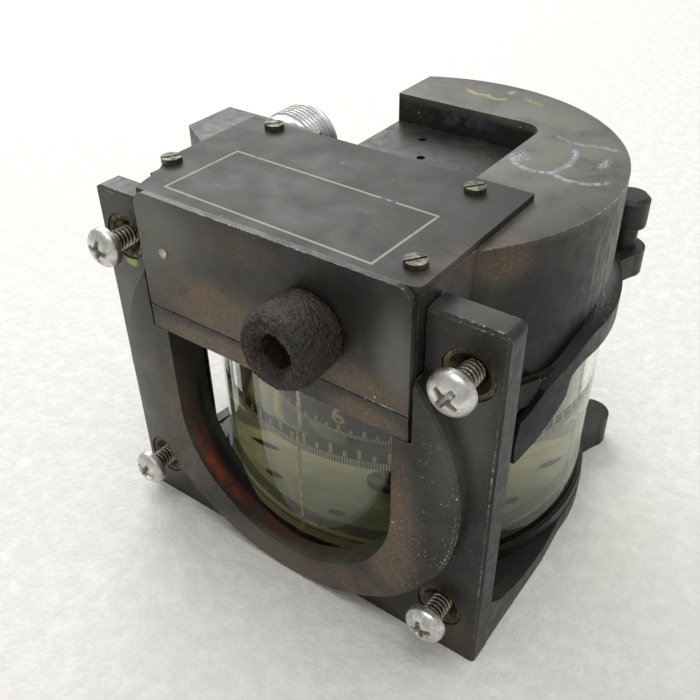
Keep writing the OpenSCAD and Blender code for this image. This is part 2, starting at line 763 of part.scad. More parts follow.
module filler_plug() {
    color([0.72, 0.6, 0.35]) translate([plug_at[0], plug_at[1], 0]) difference() {
        union() {
            translate([0, 0, ceiling_z]) cylinder(r = plug_r - 0.02, h = 5);
            translate([0, 0, comp_z + washer_t]) cylinder(r = plug_head_r, h = 1.8);
        }
        translate([0, 0, comp_z + washer_t + 1.8]) cube([9, 0.8, 1.6], center = true);
    }
}

module plug_washer() {
    color([0.1, 0.1, 0.1]) translate([plug_at[0], plug_at[1], comp_z])
        tube(plug_head_r + 0.2, plug_r, washer_t);
}

// Straight wire from the floor of the bowl to its ceiling, ahead of the card
module lubber_wire() {
    color([0.85, 0.75, 0.5]) translate([0, -glass_ri + 1.9, bowl_floor_z])
        cylinder(r = lubber_r, h = ceiling_z - bowl_floor_z);
}

module front_cover() {
    color([0.22, 0.2, 0.19]) difference() {
        union() {
            translate([0, 0, cover_z]) facing(cover_y, cover_y + cover_t)
                top_rounded(cover_w, cover_h, cover_corner_r);
            // lip that locates the cover in the opening
            difference() {
                lip_box(seat_gap * 2, 1.2);
                lip_box(seat_gap * 2 + 1.2, 3);
            }
        }
        rod_y(thumb_r + run_gap, cover_y - 1, cover_y + cover_t + 1, knob_x, knob_z);
        rod_y(dowel_r, cover_y - 1, cover_y + cover_t + 1, dowel_x, dowel_z);
        // relief in the lip round the dowel's pad
        translate([-comp_w / 2 - 1, cover_y + cover_t, dowel_z - pad_w / 2 - 0.3])
            cube([pad_w + 2, 3, pad_w + 0.6]);
        translate([knob_x - pillar_w / 2 - 0.3, cover_y + cover_t, comp_z - 1])
            cube([pillar_w + 0.6, 3, comp_h + 2]);
    }
}

// Block the size of the compartment's mouth, smaller all round by gap
module lip_box(gap, l) {
    translate([-comp_w / 2 + gap, cover_y + cover_t - 0.2, comp_z + gap])
        cube([comp_w - 2 * gap, l + 0.2, comp_h - 2 * gap]);
}

module cover_dowel() {
    color([0.75, 0.75, 0.72]) rod_y(dowel_r, cover_y - 0.2, box_y + pad_l - 0.8, dowel_x, dowel_z);
}

module thumb_screw() {
    color([0.45, 0.43, 0.4]) difference() {
        union() {
            rod_y(core_r, core_front, grip_back, knob_x, knob_z);
            rod_y(thumb_r, core_front, thumb_tip, knob_x, knob_z);
            rod_y(washer_r, grip_back - washer_h, cover_y, knob_x, knob_z);
        }
        translate([knob_x, core_front, knob_z]) rotate([0, 30, 0]) cube([2 * core_r + 1, 2, 1], center = true);
        difference() {
            rod_y(thumb_r + 1, clip_y, clip_y + clip_t, knob_x, knob_z);
            rod_y(thumb_r - 0.4, clip_y - 1, clip_y + clip_t + 1, knob_x, knob_z);
        }
    }
}

// Rubber barrel, thickest in the middle, with a deep hole down to the screw's slot
module knob_grip() {
    belly = 0.35;
    mid = knob_l / 2;
    arc_r = (mid * mid + belly * belly) / (2 * belly);
    color([0.12, 0.1, 0.1]) translate([knob_x, grip_back, knob_z]) rotate([90, 0, 0]) difference() {
        intersection() {
            cylinder(r = knob_r, h = knob_l);
            rotate_extrude() intersection() {
                translate([knob_r - arc_r, mid]) circle(r = arc_r, $fn = 180);
                translate([0, 0]) square([knob_r, knob_l]);
            }
            union() {
                cylinder(r = knob_r + 1, h = knob_l - 0.8);
                translate([0, 0, knob_l - 0.8]) cylinder(r1 = knob_r, r2 = knob_r - 1, h = 0.8);
            }
        }
        translate([0, 0, -1]) cylinder(r = core_r, h = grip_back - core_front + 1);
        translate([0, 0, -1]) cylinder(r = washer_r, h = washer_h + 1);
        cylinder(r = knob_hole_r, h = knob_l + 1);
        translate([0, 0, knob_l - 1.7]) cylinder(r1 = knob_hole_r - 0.2, r2 = knob_mouth_r, h = 1.75);
    }
}

// Open ring in the screw's groove, behind the cover, that keeps the screw captive
module screw_clip() {
    color("silver") difference() {
        rod_y(clip_r, clip_y + 0.05, clip_y + clip_t - 0.05, knob_x, knob_z);
        rod_y(thumb_r - 0.35, clip_y - 1, clip_y + clip_t + 1, knob_x, knob_z);
        translate([knob_x - 1.2, clip_y - 1, knob_z - 8]) cube([2.4, 3, 8]);
    }
}

module pivot_stem() {
    color([0.75, 0.63, 0.38]) difference() {
        union() {
            translate([0, 0, bowl_floor_z]) cylinder(r = stem_foot_r, h = 2);
            translate([0, 0, bowl_floor_z]) cylinder(r = stem_r, h = stem_top - bowl_floor_z);
        }
        translate([0, 0, spring_z]) cylinder(r = post_r + run_gap, h = stem_top);
    }
}

// Coil under the jewel post
spring_wire_r = 0.25;
spring_coil_r = 1.5;
spring_turns = 5;
spring_steps = 16;
spring_sides = 6;
module post_spring() {
    rings = spring_turns * spring_steps;
    low = spring_z + spring_wire_r;
    rise = (post_foot - spring_wire_r - low) / rings;
    pts = [for (i = [0:rings], j = [0:spring_sides - 1])
        let (a = i * 360 / spring_steps, b = j * 360 / spring_sides,
            r = spring_coil_r + spring_wire_r * cos(b))
        [r * cos(a), r * sin(a), low + i * rise + spring_wire_r * sin(b)]];
    walls = [for (i = [0:rings - 1], j = [0:spring_sides - 1])
        let (k = (j + 1) % spring_sides, p = i * spring_sides, q = p + spring_sides)
        each [[p + j, p + k, q + k], [p + j, q + k, q + j]]];
    head = [for (j = [1:spring_sides - 2]) [0, j + 1, j]];
    last = rings * spring_sides;
    tail = [for (j = [1:spring_sides - 2]) [last, last + j, last + j + 1]];
    echo(least_gap_between_turns = rise * spring_steps - 2 * spring_wire_r);
    color("silver") polyhedron(points = pts, faces = concat(walls, head, tail));
}

module jewel_post() {
    color([0.78, 0.66, 0.4]) difference() {
        union() {
            translate([0, 0, post_foot]) cylinder(r = post_r, h = jewel_top - post_foot);
            translate([0, 0, stem_top + 1]) cylinder(r = collar_r, h = 1);
        }
        translate([0, 0, jewel_top - jewel_t]) cylinder(r = jewel_r, h = jewel_t + 1);
    }
}

// Sapphire cup that the pivot turns in
module jewel() {
    color([0.7, 0.2, 0.3]) difference() {
        translate([0, 0, jewel_top - jewel_t]) cylinder(r = jewel_r, h = jewel_t);
        translate([0, 0, pivot_z + 0.02]) sphere(r = tip_r + 0.04);
        translate([0, 0, pivot_z + 0.02]) cylinder(r = tip_r + 0.04, h = 2);
    }
}

module pivot_tip() {
    color([0.8, 0.8, 0.82]) translate([0, 0, pivot_z + 0.02]) sphere(r = tip_r);
}

module pivot_pin() {
    color([0.7, 0.7, 0.72]) difference() {
        union() {
            translate([0, 0, pivot_z + 0.02]) cylinder(r1 = 0.55, r2 = pin_r, h = 1.8);
            translate([0, 0, pivot_z + 1.8]) cylinder(r = pin_r, h = pin_top - pivot_z - 1.8);
        }
        translate([0, 0, pivot_z + 0.02]) sphere(r = tip_r + 0.04);
    }
}

module pin_ferrule() {
    color([0.75, 0.63, 0.38]) difference() {
        translate([0, 0, bell_top]) cylinder(r = ferrule_r, h = pin_top + 1 - bell_top);
        translate([0, 0, bell_top - 1]) cylinder(r = pin_r + run_gap, h = pin_top - bell_top + 1.2);
    }
}

// Hollow bell whose lift takes most of the card's weight off the pivot
module card_float() {
    edge = 3;
    color([0.3, 0.3, 0.32]) rotate_extrude() polygon([[bell_r, float_z], [float_r - edge, float_z],
        [float_r, float_z + edge], [float_r, float_top - edge], [float_r - edge, float_top],
        [ferrule_r, float_top], [ferrule_r, bell_top], [bell_r - 2, bell_top], [bell_r, bell_top - 2]]);
}

module card_ring() {
    color([0.16, 0.16, 0.17]) {
        translate([0, 0, card_z]) tube(card_r, card_r - card_t, card_h);
        difference() {
            translate([0, 0, float_top]) tube(card_r - card_t + 0.1, ferrule_r, web_t);
            for (a = [0:60:300]) rotate([0, 0, a]) translate([float_r + 8, 0, float_top - 1])
                cylinder(r = 5, h = 3);
        }
    }
}

module card_magnets() {
    color([0.35, 0.35, 0.38]) for (s = [-1, 1])
        translate([-card_magnet_l / 2, s * magnet_y - magnet_w / 2, float_z - magnet_w])
            cube([card_magnet_l, magnet_w, magnet_w]);
}

comp_screws_x = [ear_near + 0.75, ear_far + 2];
comp_screw_y = ns_y + 8;
comp_screw_r = 0.9;

// Brass frame: two plates for the fore-and-aft shafts, two ears for the cross shaft
module compensator_frame() {
    foot_l = comp_screw_y + 2 - comp_front;
    color([0.72, 0.6, 0.35]) difference() {
        union() {
            translate([comp_left, comp_front, frame_foot_z]) cube([comp_right - comp_left, foot_l, frame_t]);
            for (y = [comp_front, mid_y]) translate([comp_left, y, frame_foot_z])
                cube([comp_right - comp_left, frame_t, comp_h - 0.5]);
            for (x = [ear_near, ear_far]) translate([x, mid_y, frame_foot_z])
                cube([frame_t, ns_y + 4 - mid_y, comp_h - 0.5]);
        }
        for (x = [ew_x, idler_x, ns_x]) rod_y(fit_r, comp_front - 1, mid_y + frame_t + 1, x, axis_z);
        rod_x(fit_r, ear_far - 1, ear_near + frame_t + 1, ns_y, axis_z);
        for (x = comp_screws_x) translate([x, comp_screw_y, comp_z - 1]) cylinder(r = comp_screw_r, h = 4);
        translate([ear_near + frame_t, mid_y + frame_t, comp_z - 1]) cube([30, 2, frame_t + 0.8]);
    }
}

module compensator_screws() {
    color("silver") for (x = comp_screws_x) translate([x, comp_screw_y, 0]) difference() {
        union() {
            translate([0, 0, comp_z - 1.8]) cylinder(r = comp_screw_r - 0.02, h = 3.4);
            translate([0, 0, frame_foot_z + frame_t]) cylinder(r = 1.7, h = 1.2);
        }
        translate([0, 0, frame_foot_z + frame_t + 1.2]) cube([4, 0.5, 1], center = true);
    }
}

// Spur gear along Z with involute-like flanks; thin teeth leave backlash
module spur_outline(m, n, phase = 0) {
    rp = m * n / 2;
    pitch = 360 / n;
    circle(r = rp - 1.2 * m);
    for (i = [0:n - 1]) rotate(i * pitch + phase) polygon([
        [rp - 1.3 * m, -0.26 * pitch * rp * PI / 180], [rp - 0.4 * m, -0.24 * pitch * rp * PI / 180],
        [rp, -0.215 * pitch * rp * PI / 180], [rp + 0.5 * m, -0.16 * pitch * rp * PI / 180],
        [rp + 0.9 * m, -0.09 * pitch * rp * PI / 180], [rp + 0.9 * m, 0.09 * pitch * rp * PI / 180],
        [rp + 0.5 * m, 0.16 * pitch * rp * PI / 180], [rp, 0.215 * pitch * rp * PI / 180],
        [rp - 0.4 * m, 0.24 * pitch * rp * PI / 180], [rp - 1.3 * m, 0.26 * pitch * rp * PI / 180]]);
}

// Gear on a fore-and-aft shaft; a phase of half a pitch puts a gap at the mesh
module y_gear(x, phase) {
    translate([x, gear_y + gear_w, axis_z]) rotate([90, 0, 0]) difference() {
        linear_extrude(gear_w) spur_outline(gear_module, gear_teeth, phase);
        translate([0, 0, -1]) cylinder(r = shaft_r, h = gear_w + 2);
    }
}

// Slotted end of an adjuster, ahead of the frame
module adjuster(x, y_end) {
    difference() {
        union() {
            rod_y(shaft_r, comp_front - 0.3, y_end, x, axis_z);
            rod_y(head_r, comp_front - 0.3 - head_l, comp_front - 0.3, x, axis_z);
        }
        translate([x, comp_front - 0.3 - head_l, axis_z]) cube([5, 1.4, 0.7], center = true);
    }
}

// Bar magnet across a fore-and-aft shaft
module y_bar(x) {
    difference() {
        translate([x - bar_half, magnet_front, axis_z - bar_w / 2]) cube([2 * bar_half, bar_t, bar_w]);
        rod_y(shaft_r, magnet_front - 1, magnet_front + bar_t + 1, x, axis_z);
        for (s = [-1, 1]) translate([x + s * bar_half, magnet_front - 1, axis_z + bar_w / 2])
            rotate([0, 45, 0]) translate([-0.7, 0, -0.7]) cube([1.4, bar_t + 2, 1.4]);
        for (s = [-1, 1]) translate([x + s * bar_half, magnet_front - 1, axis_z - bar_w / 2])
            rotate([0, 45, 0]) translate([-0.7, 0, -0.7]) cube([1.4, bar_t + 2, 1.4]);
    }
}

module ew_adjuster() { color("silver") adjuster(ew_x, mid_y + frame_t + 0.6); }
module ew_drive_gear() { color([0.75, 0.63, 0.38]) y_gear(ew_x, 0); }
module ew_drive_magnet() { color([0.35, 0.35, 0.38]) y_bar(ew_x); }
module ew_idler_shaft() {
    color("silver") rod_y(shaft_r, comp_front - 0.2, mid_y + frame_t + 0.6, idler_x, axis_z);
}
module ew_idler_gear() { color([0.75, 0.63, 0.38]) y_gear(idler_x, 180 / gear_teeth + 180); }
module ew_idler_magnet() { color([0.35, 0.35, 0.38]) y_bar(idler_x); }

// Straight mitre gear: its teeth taper to the crossing of the two shafts
module mitre_gear(phase) {
    m = 2 * mitre_r / mitre_teeth;
    translate([0, 0, -mitre_r]) difference() {
        linear_extrude(mitre_w, scale = 1 - mitre_w / mitre_r) mitre_outline(m, mitre_teeth, phase);
        translate([0, 0, -1]) cylinder(r = shaft_r, h = 4);
    }
}

module mitre_outline(m, n, phase) {
    rp = m * n / 2;
    half = rp * PI / n;
    circle(r = rp - 0.95 * m, $fn = 4 * n);
    for (i = [0:n - 1]) rotate(i * 360 / n + phase) polygon([[rp - 1.1 * m, -0.5 * half],
        [rp - 0.2 * m, -0.44 * half], [rp + 0.5 * m, -0.2 * half], [rp + 0.5 * m, 0.2 * half],
        [rp - 0.2 * m, 0.44 * half], [rp - 1.1 * m, 0.5 * half]]);
}

module ns_adjuster() { color("silver") adjuster(ns_x, ns_y - mitre_r + mitre_w); }
module ns_drive_gear() {
    color([0.75, 0.63, 0.38]) translate([ns_x, ns_y, axis_z]) rotate([-90, 0, 0])
        mitre_gear(mitre_teeth % 2 == 0 ? 0 : 180 / mitre_teeth);
}
module ns_shaft() {
    color("silver") rod_x(shaft_r, ear_far - 0.3, ns_x - mitre_r + mitre_w, ns_y, axis_z);
}
module ns_driven_gear() {
    color([0.75, 0.63, 0.38]) translate([ns_x, ns_y, axis_z]) rotate([0, 90, 0])
        mitre_gear(90 + 180 / mitre_teeth);
}
module ns_magnet() {
    mid = (ear_near + ear_far + frame_t) / 2;
    color([0.35, 0.35, 0.38]) difference() {
        translate([mid - bar_t / 2, ns_y - bar_half + 0.4, axis_z - bar_w / 2])
            cube([bar_t, 2 * bar_half - 0.8, bar_w]);
        rod_x(shaft_r, mid - 5, mid + 5, ns_y, axis_z);
    }
}

module lamp_socket() {
    color([0.7, 0.58, 0.34]) translate([lamp_at[0], lamp_at[1], 0]) difference() {
        union() {
            translate([-6.4, -6.4, comp_top - 1]) cube([12.8, 12.8, 1 - eps]);
            translate([0, 0, comp_top - socket_l]) cylinder(r = socket_r, h = socket_l - 0.5);
        }
        translate([0, 0, comp_top - socket_l - 1]) cylinder(r = socket_r - 1, h = socket_l - 1);
    }
}

module lamp_bulb() {
    color([0.95, 0.9, 0.75]) translate([lamp_at[0], lamp_at[1], 0]) {
        translate([0, 0, comp_top - socket_l + 0.6]) cylinder(r = socket_r - 1.1, h = socket_l - 2.6);
        translate([0, 0, comp_z + 5.4]) cylinder(r = 3.1, h = comp_top - socket_l - comp_z - 4.6);
        translate([0, 0, comp_z + 5.4]) sphere(r = 3.1);
    }
}

module lamp_window() {
    color([0.8, 0.85, 0.8, 0.5]) translate([lamp_at[0], lamp_at[1], comp_z - lamp_glass_t - 0.2])
        cylinder(r = lamp_seat_r - 0.1, h = lamp_glass_t);
}

// Pair of leads from the connector along the back of the compartment to the lamp
module lamp_leads() {
    color([0.8, 0.78, 0.7]) for (i = [0, 1]) {
        z = lead_z + (2 * i - 1) * lead_r;
        rod_y(lead_r * 0.9, lead_y, -block_back - conn_bore_depth + 1, conn_x, z);
        rod_x(lead_r * 0.9, conn_x, lamp_at[0] + (i ? 2 : -2), lead_y, z);
        translate([conn_x, lead_y, z]) sphere(r = lead_r * 0.9);
        translate([lamp_at[0] + (i ? 2 : -2), lead_y, z]) sphere(r = lead_r * 0.9);
        rod_y(lead_r * 0.9, lamp_at[1] + socket_r + 0.02, lead_y, lamp_at[0] + (i ? 2 : -2), z);
    }
}

module connector_shell() {
    color([0.8, 0.8, 0.8]) translate([conn_x, -block_back + shell_l, conn_z]) rotate([90, 0, 0])
        tube(shell_r, insert_r, shell_l);
}

module connector_insert() {
    color([0.25, 0.22, 0.2]) difference() {
        rod_y(insert_r, -block_back - conn_bore_depth + 1, insert_y, conn_x, conn_z);
        for (s = [-1, 1])
            rod_y(contact_r + 0.3, -block_back - conn_bore_depth, 30, conn_x + s * contact_dx, conn_z);
        // key that lets the plug go in only one way
        translate([conn_x - 1, insert_y - 3, conn_z + insert_r - 1]) cube([2, 4, 2]);
    }
}

module connector_pins() {
    color([0.8, 0.7, 0.4]) for (s = [-1, 1]) {
        rod_y(contact_r + 0.3, -block_back - conn_bore_depth + 1, insert_y, conn_x + s * contact_dx, conn_z);
        rod_y(contact_r, insert_y - 0.1, insert_y + contact_l, conn_x + s * contact_dx, conn_z);
    }
}

main_frame();
screw_inserts();
panel_screws();
expansion_diaphragm();
clamp_ring();
bottom_cover();
bottom_screws();
lower_gasket();
glass_bowl();
upper_gasket();
top_casting();
tie_bolts();
tie_nuts();
lug_cap_screws();
name_plate();
plate_screws();
filler_plug();
plug_washer();
lubber_wire();
front_cover();
cover_dowel();
thumb_screw();
knob_grip();
screw_clip();
pivot_stem();
post_spring();
jewel_post();
jewel();
pivot_tip();
pivot_pin();
pin_ferrule();
card_float();
card_ring();
card_magnets();
compensator_frame();
compensator_screws();
ew_adjuster();
ew_drive_gear();
ew_drive_magnet();
ew_idler_shaft();
ew_idler_gear();
ew_idler_magnet();
ns_adjuster();
ns_drive_gear();
ns_shaft();
ns_driven_gear();
ns_magnet();
lamp_socket();
lamp_bulb();
lamp_window();
lamp_leads();
connector_shell();
connector_insert();
connector_pins();
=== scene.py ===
import bpy
import numpy as np
from mathutils import Matrix, Vector


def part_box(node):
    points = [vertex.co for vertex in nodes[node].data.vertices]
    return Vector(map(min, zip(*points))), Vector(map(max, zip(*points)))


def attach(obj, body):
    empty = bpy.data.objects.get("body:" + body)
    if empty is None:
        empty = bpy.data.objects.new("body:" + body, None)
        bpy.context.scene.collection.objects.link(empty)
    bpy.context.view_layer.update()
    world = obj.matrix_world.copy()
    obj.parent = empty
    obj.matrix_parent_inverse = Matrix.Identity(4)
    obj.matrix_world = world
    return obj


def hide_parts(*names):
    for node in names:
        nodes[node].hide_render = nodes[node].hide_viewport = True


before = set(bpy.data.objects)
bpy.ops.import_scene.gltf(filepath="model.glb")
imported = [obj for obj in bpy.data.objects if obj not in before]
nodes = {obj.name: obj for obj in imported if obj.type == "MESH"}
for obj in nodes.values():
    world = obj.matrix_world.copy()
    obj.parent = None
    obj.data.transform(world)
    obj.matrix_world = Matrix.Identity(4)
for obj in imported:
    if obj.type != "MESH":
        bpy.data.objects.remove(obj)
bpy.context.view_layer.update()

# Castings: the flanged frame, the top casting and the bottom cover.
# They are sand-cast aluminium alloy, machined on the faces and brushed with satin black
# enamel, which chips bright along the edges and browns where hands and heat have rubbed it.
mm = 0.001


def linear(code):
    """sRGB hex colour as linear red, green, blue and alpha."""
    srgb = np.array([int(code[i:i + 2], 16) for i in (1, 3, 5)]) / 255
    flat = np.where(srgb <= 0.04045, srgb / 12.92, ((srgb + 0.055) / 1.055) ** 2.4)
    return (*flat.tolist(), 1.0)


def add(mat, kind, links=(), out=0, **settings):
    """Adds one node and gives back one output: settings are its properties, links fill its sockets."""
    made = mat.node_tree.nodes.new("ShaderNode" + kind)
    for key, value in settings.items():
        setattr(made, key, value)
    for key, value in dict(links).items():
        if isinstance(value, bpy.types.NodeSocket):
            mat.node_tree.links.new(value, made.inputs[key])
        else:
            made.inputs[key].default_value = value
    return made.outputs[out] if made.outputs else made


def new_finish(name, **sockets):
    """Material with one Principled shader, and the values that are the same all over it."""
    mat = bpy.data.materials.new(name)
    mat.use_nodes = True
    shader = mat.node_tree.nodes["Principled BSDF"]
    for key, value in sockets.items():
        shader.inputs[key.replace("_", " ")].default_value = value
    return mat


def lay_on(mat, **patterns):
    """Leads worked-out patterns into the shader: Base_Color, Roughness or Normal."""
    shader = mat.node_tree.nodes["Principled BSDF"]
    for key, output in patterns.items():
        mat.node_tree.links.new(output, shader.inputs[key.replace("_", " ")])
    return mat


def place(mat, centre=(0, 0, 0), stretch=(1, 1, 1)):
    """Object coordinates in millimetres from a centre, each axis then multiplied by its stretch."""
    return add(mat, "Mapping", {"Vector": add(mat, "TexCoord", out="Object"),
                                "Location": [-c * s for c, s in zip(centre, stretch)],
                                "Scale": [s / mm for s in stretch]})


def patches(mat, at, size, low, high, detail=4.0, rough=0.6):
    """Cloudy patches about size mm across: noise stretched so that it is 0 below low and 1 above high."""
    cloud = add(mat, "TexNoise", {"Vector": at, "Scale": 1 / size, "Detail": detail, "Roughness": rough})
    return add(mat, "MapRange", {0: cloud, 1: low, 2: high}, interpolation_type="SMOOTHSTEP")


def within(mat, centre, size, soft=0.8):
    """1 inside an ellipsoid of a centre and half axes in mm, falling to 0 at its skin over the share soft."""
    far = add(mat, "VectorMath", {0: place(mat, centre, [1 / s for s in size])}, out=1, operation="LENGTH")
    return add(mat, "MapRange", {0: far, 1: 1.0, 2: 1.0 - soft}, interpolation_type="SMOOTHSTEP")


def regions(mat, spots):
    """The strongest of several ellipsoids, each with a strength: (centre, half axes, strength)."""
    most = 0.0
    for centre, size, strength in spots:
        one = add(mat, "Math", {0: within(mat, centre, size), 1: strength}, operation="MULTIPLY")
        most = add(mat, "Math", {0: one, 1: most}, operation="MAXIMUM")
    return most


def coat(mat, under, over, *masks):
    """Lays one colour over another, hex or worked out, as strongly as all the masks multiplied together."""
    amount = masks[0]
    for mask in masks[1:]:
        amount = add(mat, "Math", {0: amount, 1: mask}, operation="MULTIPLY")
    under, over = (linear(tint) if isinstance(tint, str) else tint for tint in (under, over))
    return add(mat, "Mix", {0: amount, 6: under, 7: over}, out=2, data_type="RGBA")


def worn_edges(mat, radius, chip, share=0.5):
    """Where the normal of a rounded edge turns away from the flat face, broken into chips by noise (mm)."""
    rounded = add(mat, "Bevel", {"Radius": radius * mm}, samples=6)
    flat = add(mat, "NewGeometry", out="Normal")
    same = add(mat, "VectorMath", {0: rounded, 1: flat}, out=1, operation="DOT_PRODUCT")
    edge = add(mat, "MapRange", {0: same, 1: 0.995, 2: 0.93}, interpolation_type="SMOOTHSTEP")
    return add(mat, "Math", {0: edge, 1: patches(mat, place(mat), chip, 1 - share, 1.06 - share, 4.0, 0.7)},
               operation="MULTIPLY")


def grains(mat, size, share):
    """Round specks: cells of a Voronoi pattern size mm apart, that share of them shrunk to a dot and kept."""
    cells = add(mat, "TexVoronoi", {"Vector": place(mat), "Scale": 1 / size})
    tint = add(mat, "SeparateColor", {0: cells.node.outputs["Color"]})
    dot = add(mat, "MapRange", {0: cells, 1: 0.26, 2: 0.12}, interpolation_type="SMOOTHSTEP")
    kept = add(mat, "Math", {0: tint, 1: 1 - share}, operation="GREATER_THAN")
    return add(mat, "Math", {0: dot, 1: kept}, operation="MULTIPLY")


def dress(mat, *names):
    """Gives CAD nodes their material."""
    for name in names:
        nodes[name].data.materials.clear()
        nodes[name].data.materials.append(mat)


def black_enamel(name, painted_sheen, browned, chipped, base="#20201e", streaks=0.0):
    """Satin enamel on a casting: regions of painted sheen, browned regions, flecks, chipped edges, sand-cast
    pebble.
    """
    mat = new_finish(name, IOR=1.5, Specular_IOR_Level=0.32, Coat_Weight=0.06, Coat_Roughness=0.35)
    at = place(mat)
    rubbed = regions(mat, browned)
    tone = coat(mat, base, "#31302c", patches(mat, at, 9, 0.32, 0.70))
    # Painted sheen: a pale grey laid over the given regions, where the satin enamel catches the light.
    tone = coat(mat, tone, "#6b6a62", regions(mat, painted_sheen), patches(mat, at, 12, 0.1, 0.6))
    tone = coat(mat, tone, "#5a5040", rubbed, patches(mat, at, 6, 0.20, 0.55))
    rust = patches(mat, at, 0.55, 0.52, 0.62, 3.0, 0.7)
    tone = coat(mat, tone, "#8b5f3e", rubbed, rust, patches(mat, at, 5, 0.36, 0.54), 0.75)
    tone = coat(mat, tone, "#a39c86", rubbed, grains(mat, 0.8, 0.10), 0.7)
    tone = coat(mat, tone, "#211b17", rubbed, patches(mat, at, 0.7, 0.56, 0.66, 3.0, 0.7), 0.5)
    fleck = patches(mat, at, 0.7, 0.62, 0.70, 3.0)
    tone = coat(mat, tone, "#674a33", fleck, patches(mat, at, 14, 0.45, 0.6), 0.7)
    tone = coat(mat, tone, "#8f8d80", patches(mat, at, 0.6, 0.60, 0.72, 4.0), 0.20)
    tone = coat(mat, tone, "#c9c6bb", grains(mat, 1.1, 0.004))
    tone = coat(mat, tone, "#8b887c", worn_edges(mat, 0.3, 1.6), 0.45)
    tone = coat(mat, tone, "#eceae0", worn_edges(mat, 0.45, 0.7, 0.49), regions(mat, chipped))
    rough = add(mat, "MapRange", {0: patches(mat, at, 3, 0.3, 0.7), 3: 0.36, 4: 0.52})

    # The sand's pebble is drawn 0.6 mm across, coarser than it is, so that it shows.
    height = add(mat, "TexNoise", {"Vector": at, "Scale": 1 / 0.6, "Detail": 3.0})
    if streaks:
        along = place(mat, stretch=(1, 1, 0.04))
        lines = add(mat, "TexNoise", {"Vector": along, "Scale": 1 / 1.3, "Detail": 4.0})
        height = add(mat, "Math", {0: lines, 1: streaks, 2: height}, operation="MULTIPLY_ADD")
        streak = patches(mat, place(mat, stretch=(1, 1, 0.03)), 1.2, 0.58, 0.72)
        tone = coat(mat, tone, "#6f6d66", streak, 0.12)
    lay_on(mat, Base_Color=tone, Roughness=rough,
           Normal=add(mat, "Bump", {"Height": height, "Distance": 0.1 * mm, "Strength": 0.4}))
    return mat, tone


def ringed(mat, centre, radius, half, soft, stretch=(1, 1, 1)):
    """1 on a round line in mm, of a radius, half its width, and how far it fades beyond that."""
    far = add(mat, "VectorMath", {0: place(mat, centre, stretch)}, out=1, operation="LENGTH")
    off = add(mat, "Math", {0: far, 1: radius}, operation="SUBTRACT")
    off = add(mat, "Math", {0: off}, operation="ABSOLUTE")
    return add(mat, "MapRange", {0: off, 1: half + soft, 2: half}, interpolation_type="SMOOTHSTEP")


# Enamel on the frame: dark satin black, browned round the right of the boss, dull red inside the window
# bore where the primer shows, a dab of green-yellow paint by a screw, olive bitumen on the bowl's floor.
# Regions are centre, half axes and strength, in the part's own millimetres.
# Painted sheen lightens the left of the flange, the front at its foot, the flange's right end and its top
# right corner.
painted_sheen = [((-48, -50, 46), (17, 10, 60), 1.15), ((-8, -54, 1), (34, 6, 12), 0.7),
          ((44, -51, 66), (9, 6, 26), 0.5), ((44, -44, 91), (10, 8, 2), 0.3)]
browned = [((30, -53.5, 32), (9.5, 5, 32), 1.3), ((24, -53.5, 8), (20, 5, 10), 1.0),
           ((4, -53.5, 4), (34, 6, 9), 0.75), ((-32, -52, 30), (11, 6, 36), 0.5),
           ((44, -49, 8), (8, 8, 12), 0.4)]
chipped = [((50.8, -49.5, 58), (2.5, 2.5, 17), 1.0), ((50.8, -49.5, 28), (2.5, 2.5, 20), 0.55),
           ((46, -53, 28), (5, 3, 26), 1.4), ((-44, -49.5, 91), (10, 3, 2.5), 1.0),
           ((45, -49.5, 91), (8, 3, 2.5), 1.6), ((-24, -53, 14), (14, 2, 10), 0.4),
           ((24, -53, 8), (16, 2, 8), 0.4)]
frame_mat, tone = black_enamel("black_enamel_on_cast_aluminium_frame", painted_sheen, browned, chipped)
at = place(frame_mat)
gritty = within(frame_mat, (39, -53.5, 32), (10, 3, 40), 0.4)
tone = coat(frame_mat, tone, "#c4c1b6", grains(frame_mat, 0.75, 0.16), gritty, 0.75)
bore = within(frame_mat, (-4, -49.4, 28), (31.6, 3.4, 30), 0.25)
tone = coat(frame_mat, tone, "#3d211a", bore, patches(frame_mat, at, 7, 0.20, 0.55))
primer = within(frame_mat, (-22, -50.5, 22), (12, 2.2, 15), 0.7)
tone = coat(frame_mat, tone, "#8c4635", primer, patches(frame_mat, at, 3, 0.3, 0.6), 0.8)
# Painted shade: the back of the window bore, where it meets the glass, is darkened to near black.
tone = coat(frame_mat, tone, "#141210", within(frame_mat, (-4, -46.6, 28), (34, 2.0, 32), 0.2))
dab = within(frame_mat, (-42.9, -49.6, 73.0), (2.6, 1.0, 1.4), 0.5)
tone = coat(frame_mat, tone, "#a3b24f", dab, patches(frame_mat, at, 1.1, 0.36, 0.44))
tone = coat(frame_mat, tone, "#77804a", within(frame_mat, (-43, -49.6, 13), (7, 1.2, 7), 0.5), 0.35)

# Bitumen on the bowl's floor, with a darker outer band, a dark ring and a thin pale ring: radius, half width,
# fade, colour and share.
# Two flat ellipsoids keep it to the floor, each with the height of its centre and its half axes.
bitumen = coat(frame_mat, "#8a8770", "#6a6853", patches(frame_mat, at, 8, 0.3, 0.7))
for radius, half, soft, code, share in (
        (42.0, 5.2, 0.5, "#55543f", 0.6), (31.6, 2.4, 0.8, "#2f2e29", 0.85),
        (35.8, 0.3, 0.4, "#b3a765", 0.6)):
    ring = ringed(frame_mat, (0, 0, 0), radius, half, soft, (1, 1, 0))
    bitumen = coat(frame_mat, bitumen, code, ring, patches(frame_mat, at, 5, 0.25, 0.42), share)
for middle, reach in ((5.8, (32, 32, 2.2)), (7.0, (46, 46, 0.6))):
    tone = coat(frame_mat, tone, bitumen, within(frame_mat, (0, 0, middle), reach, 0.02))
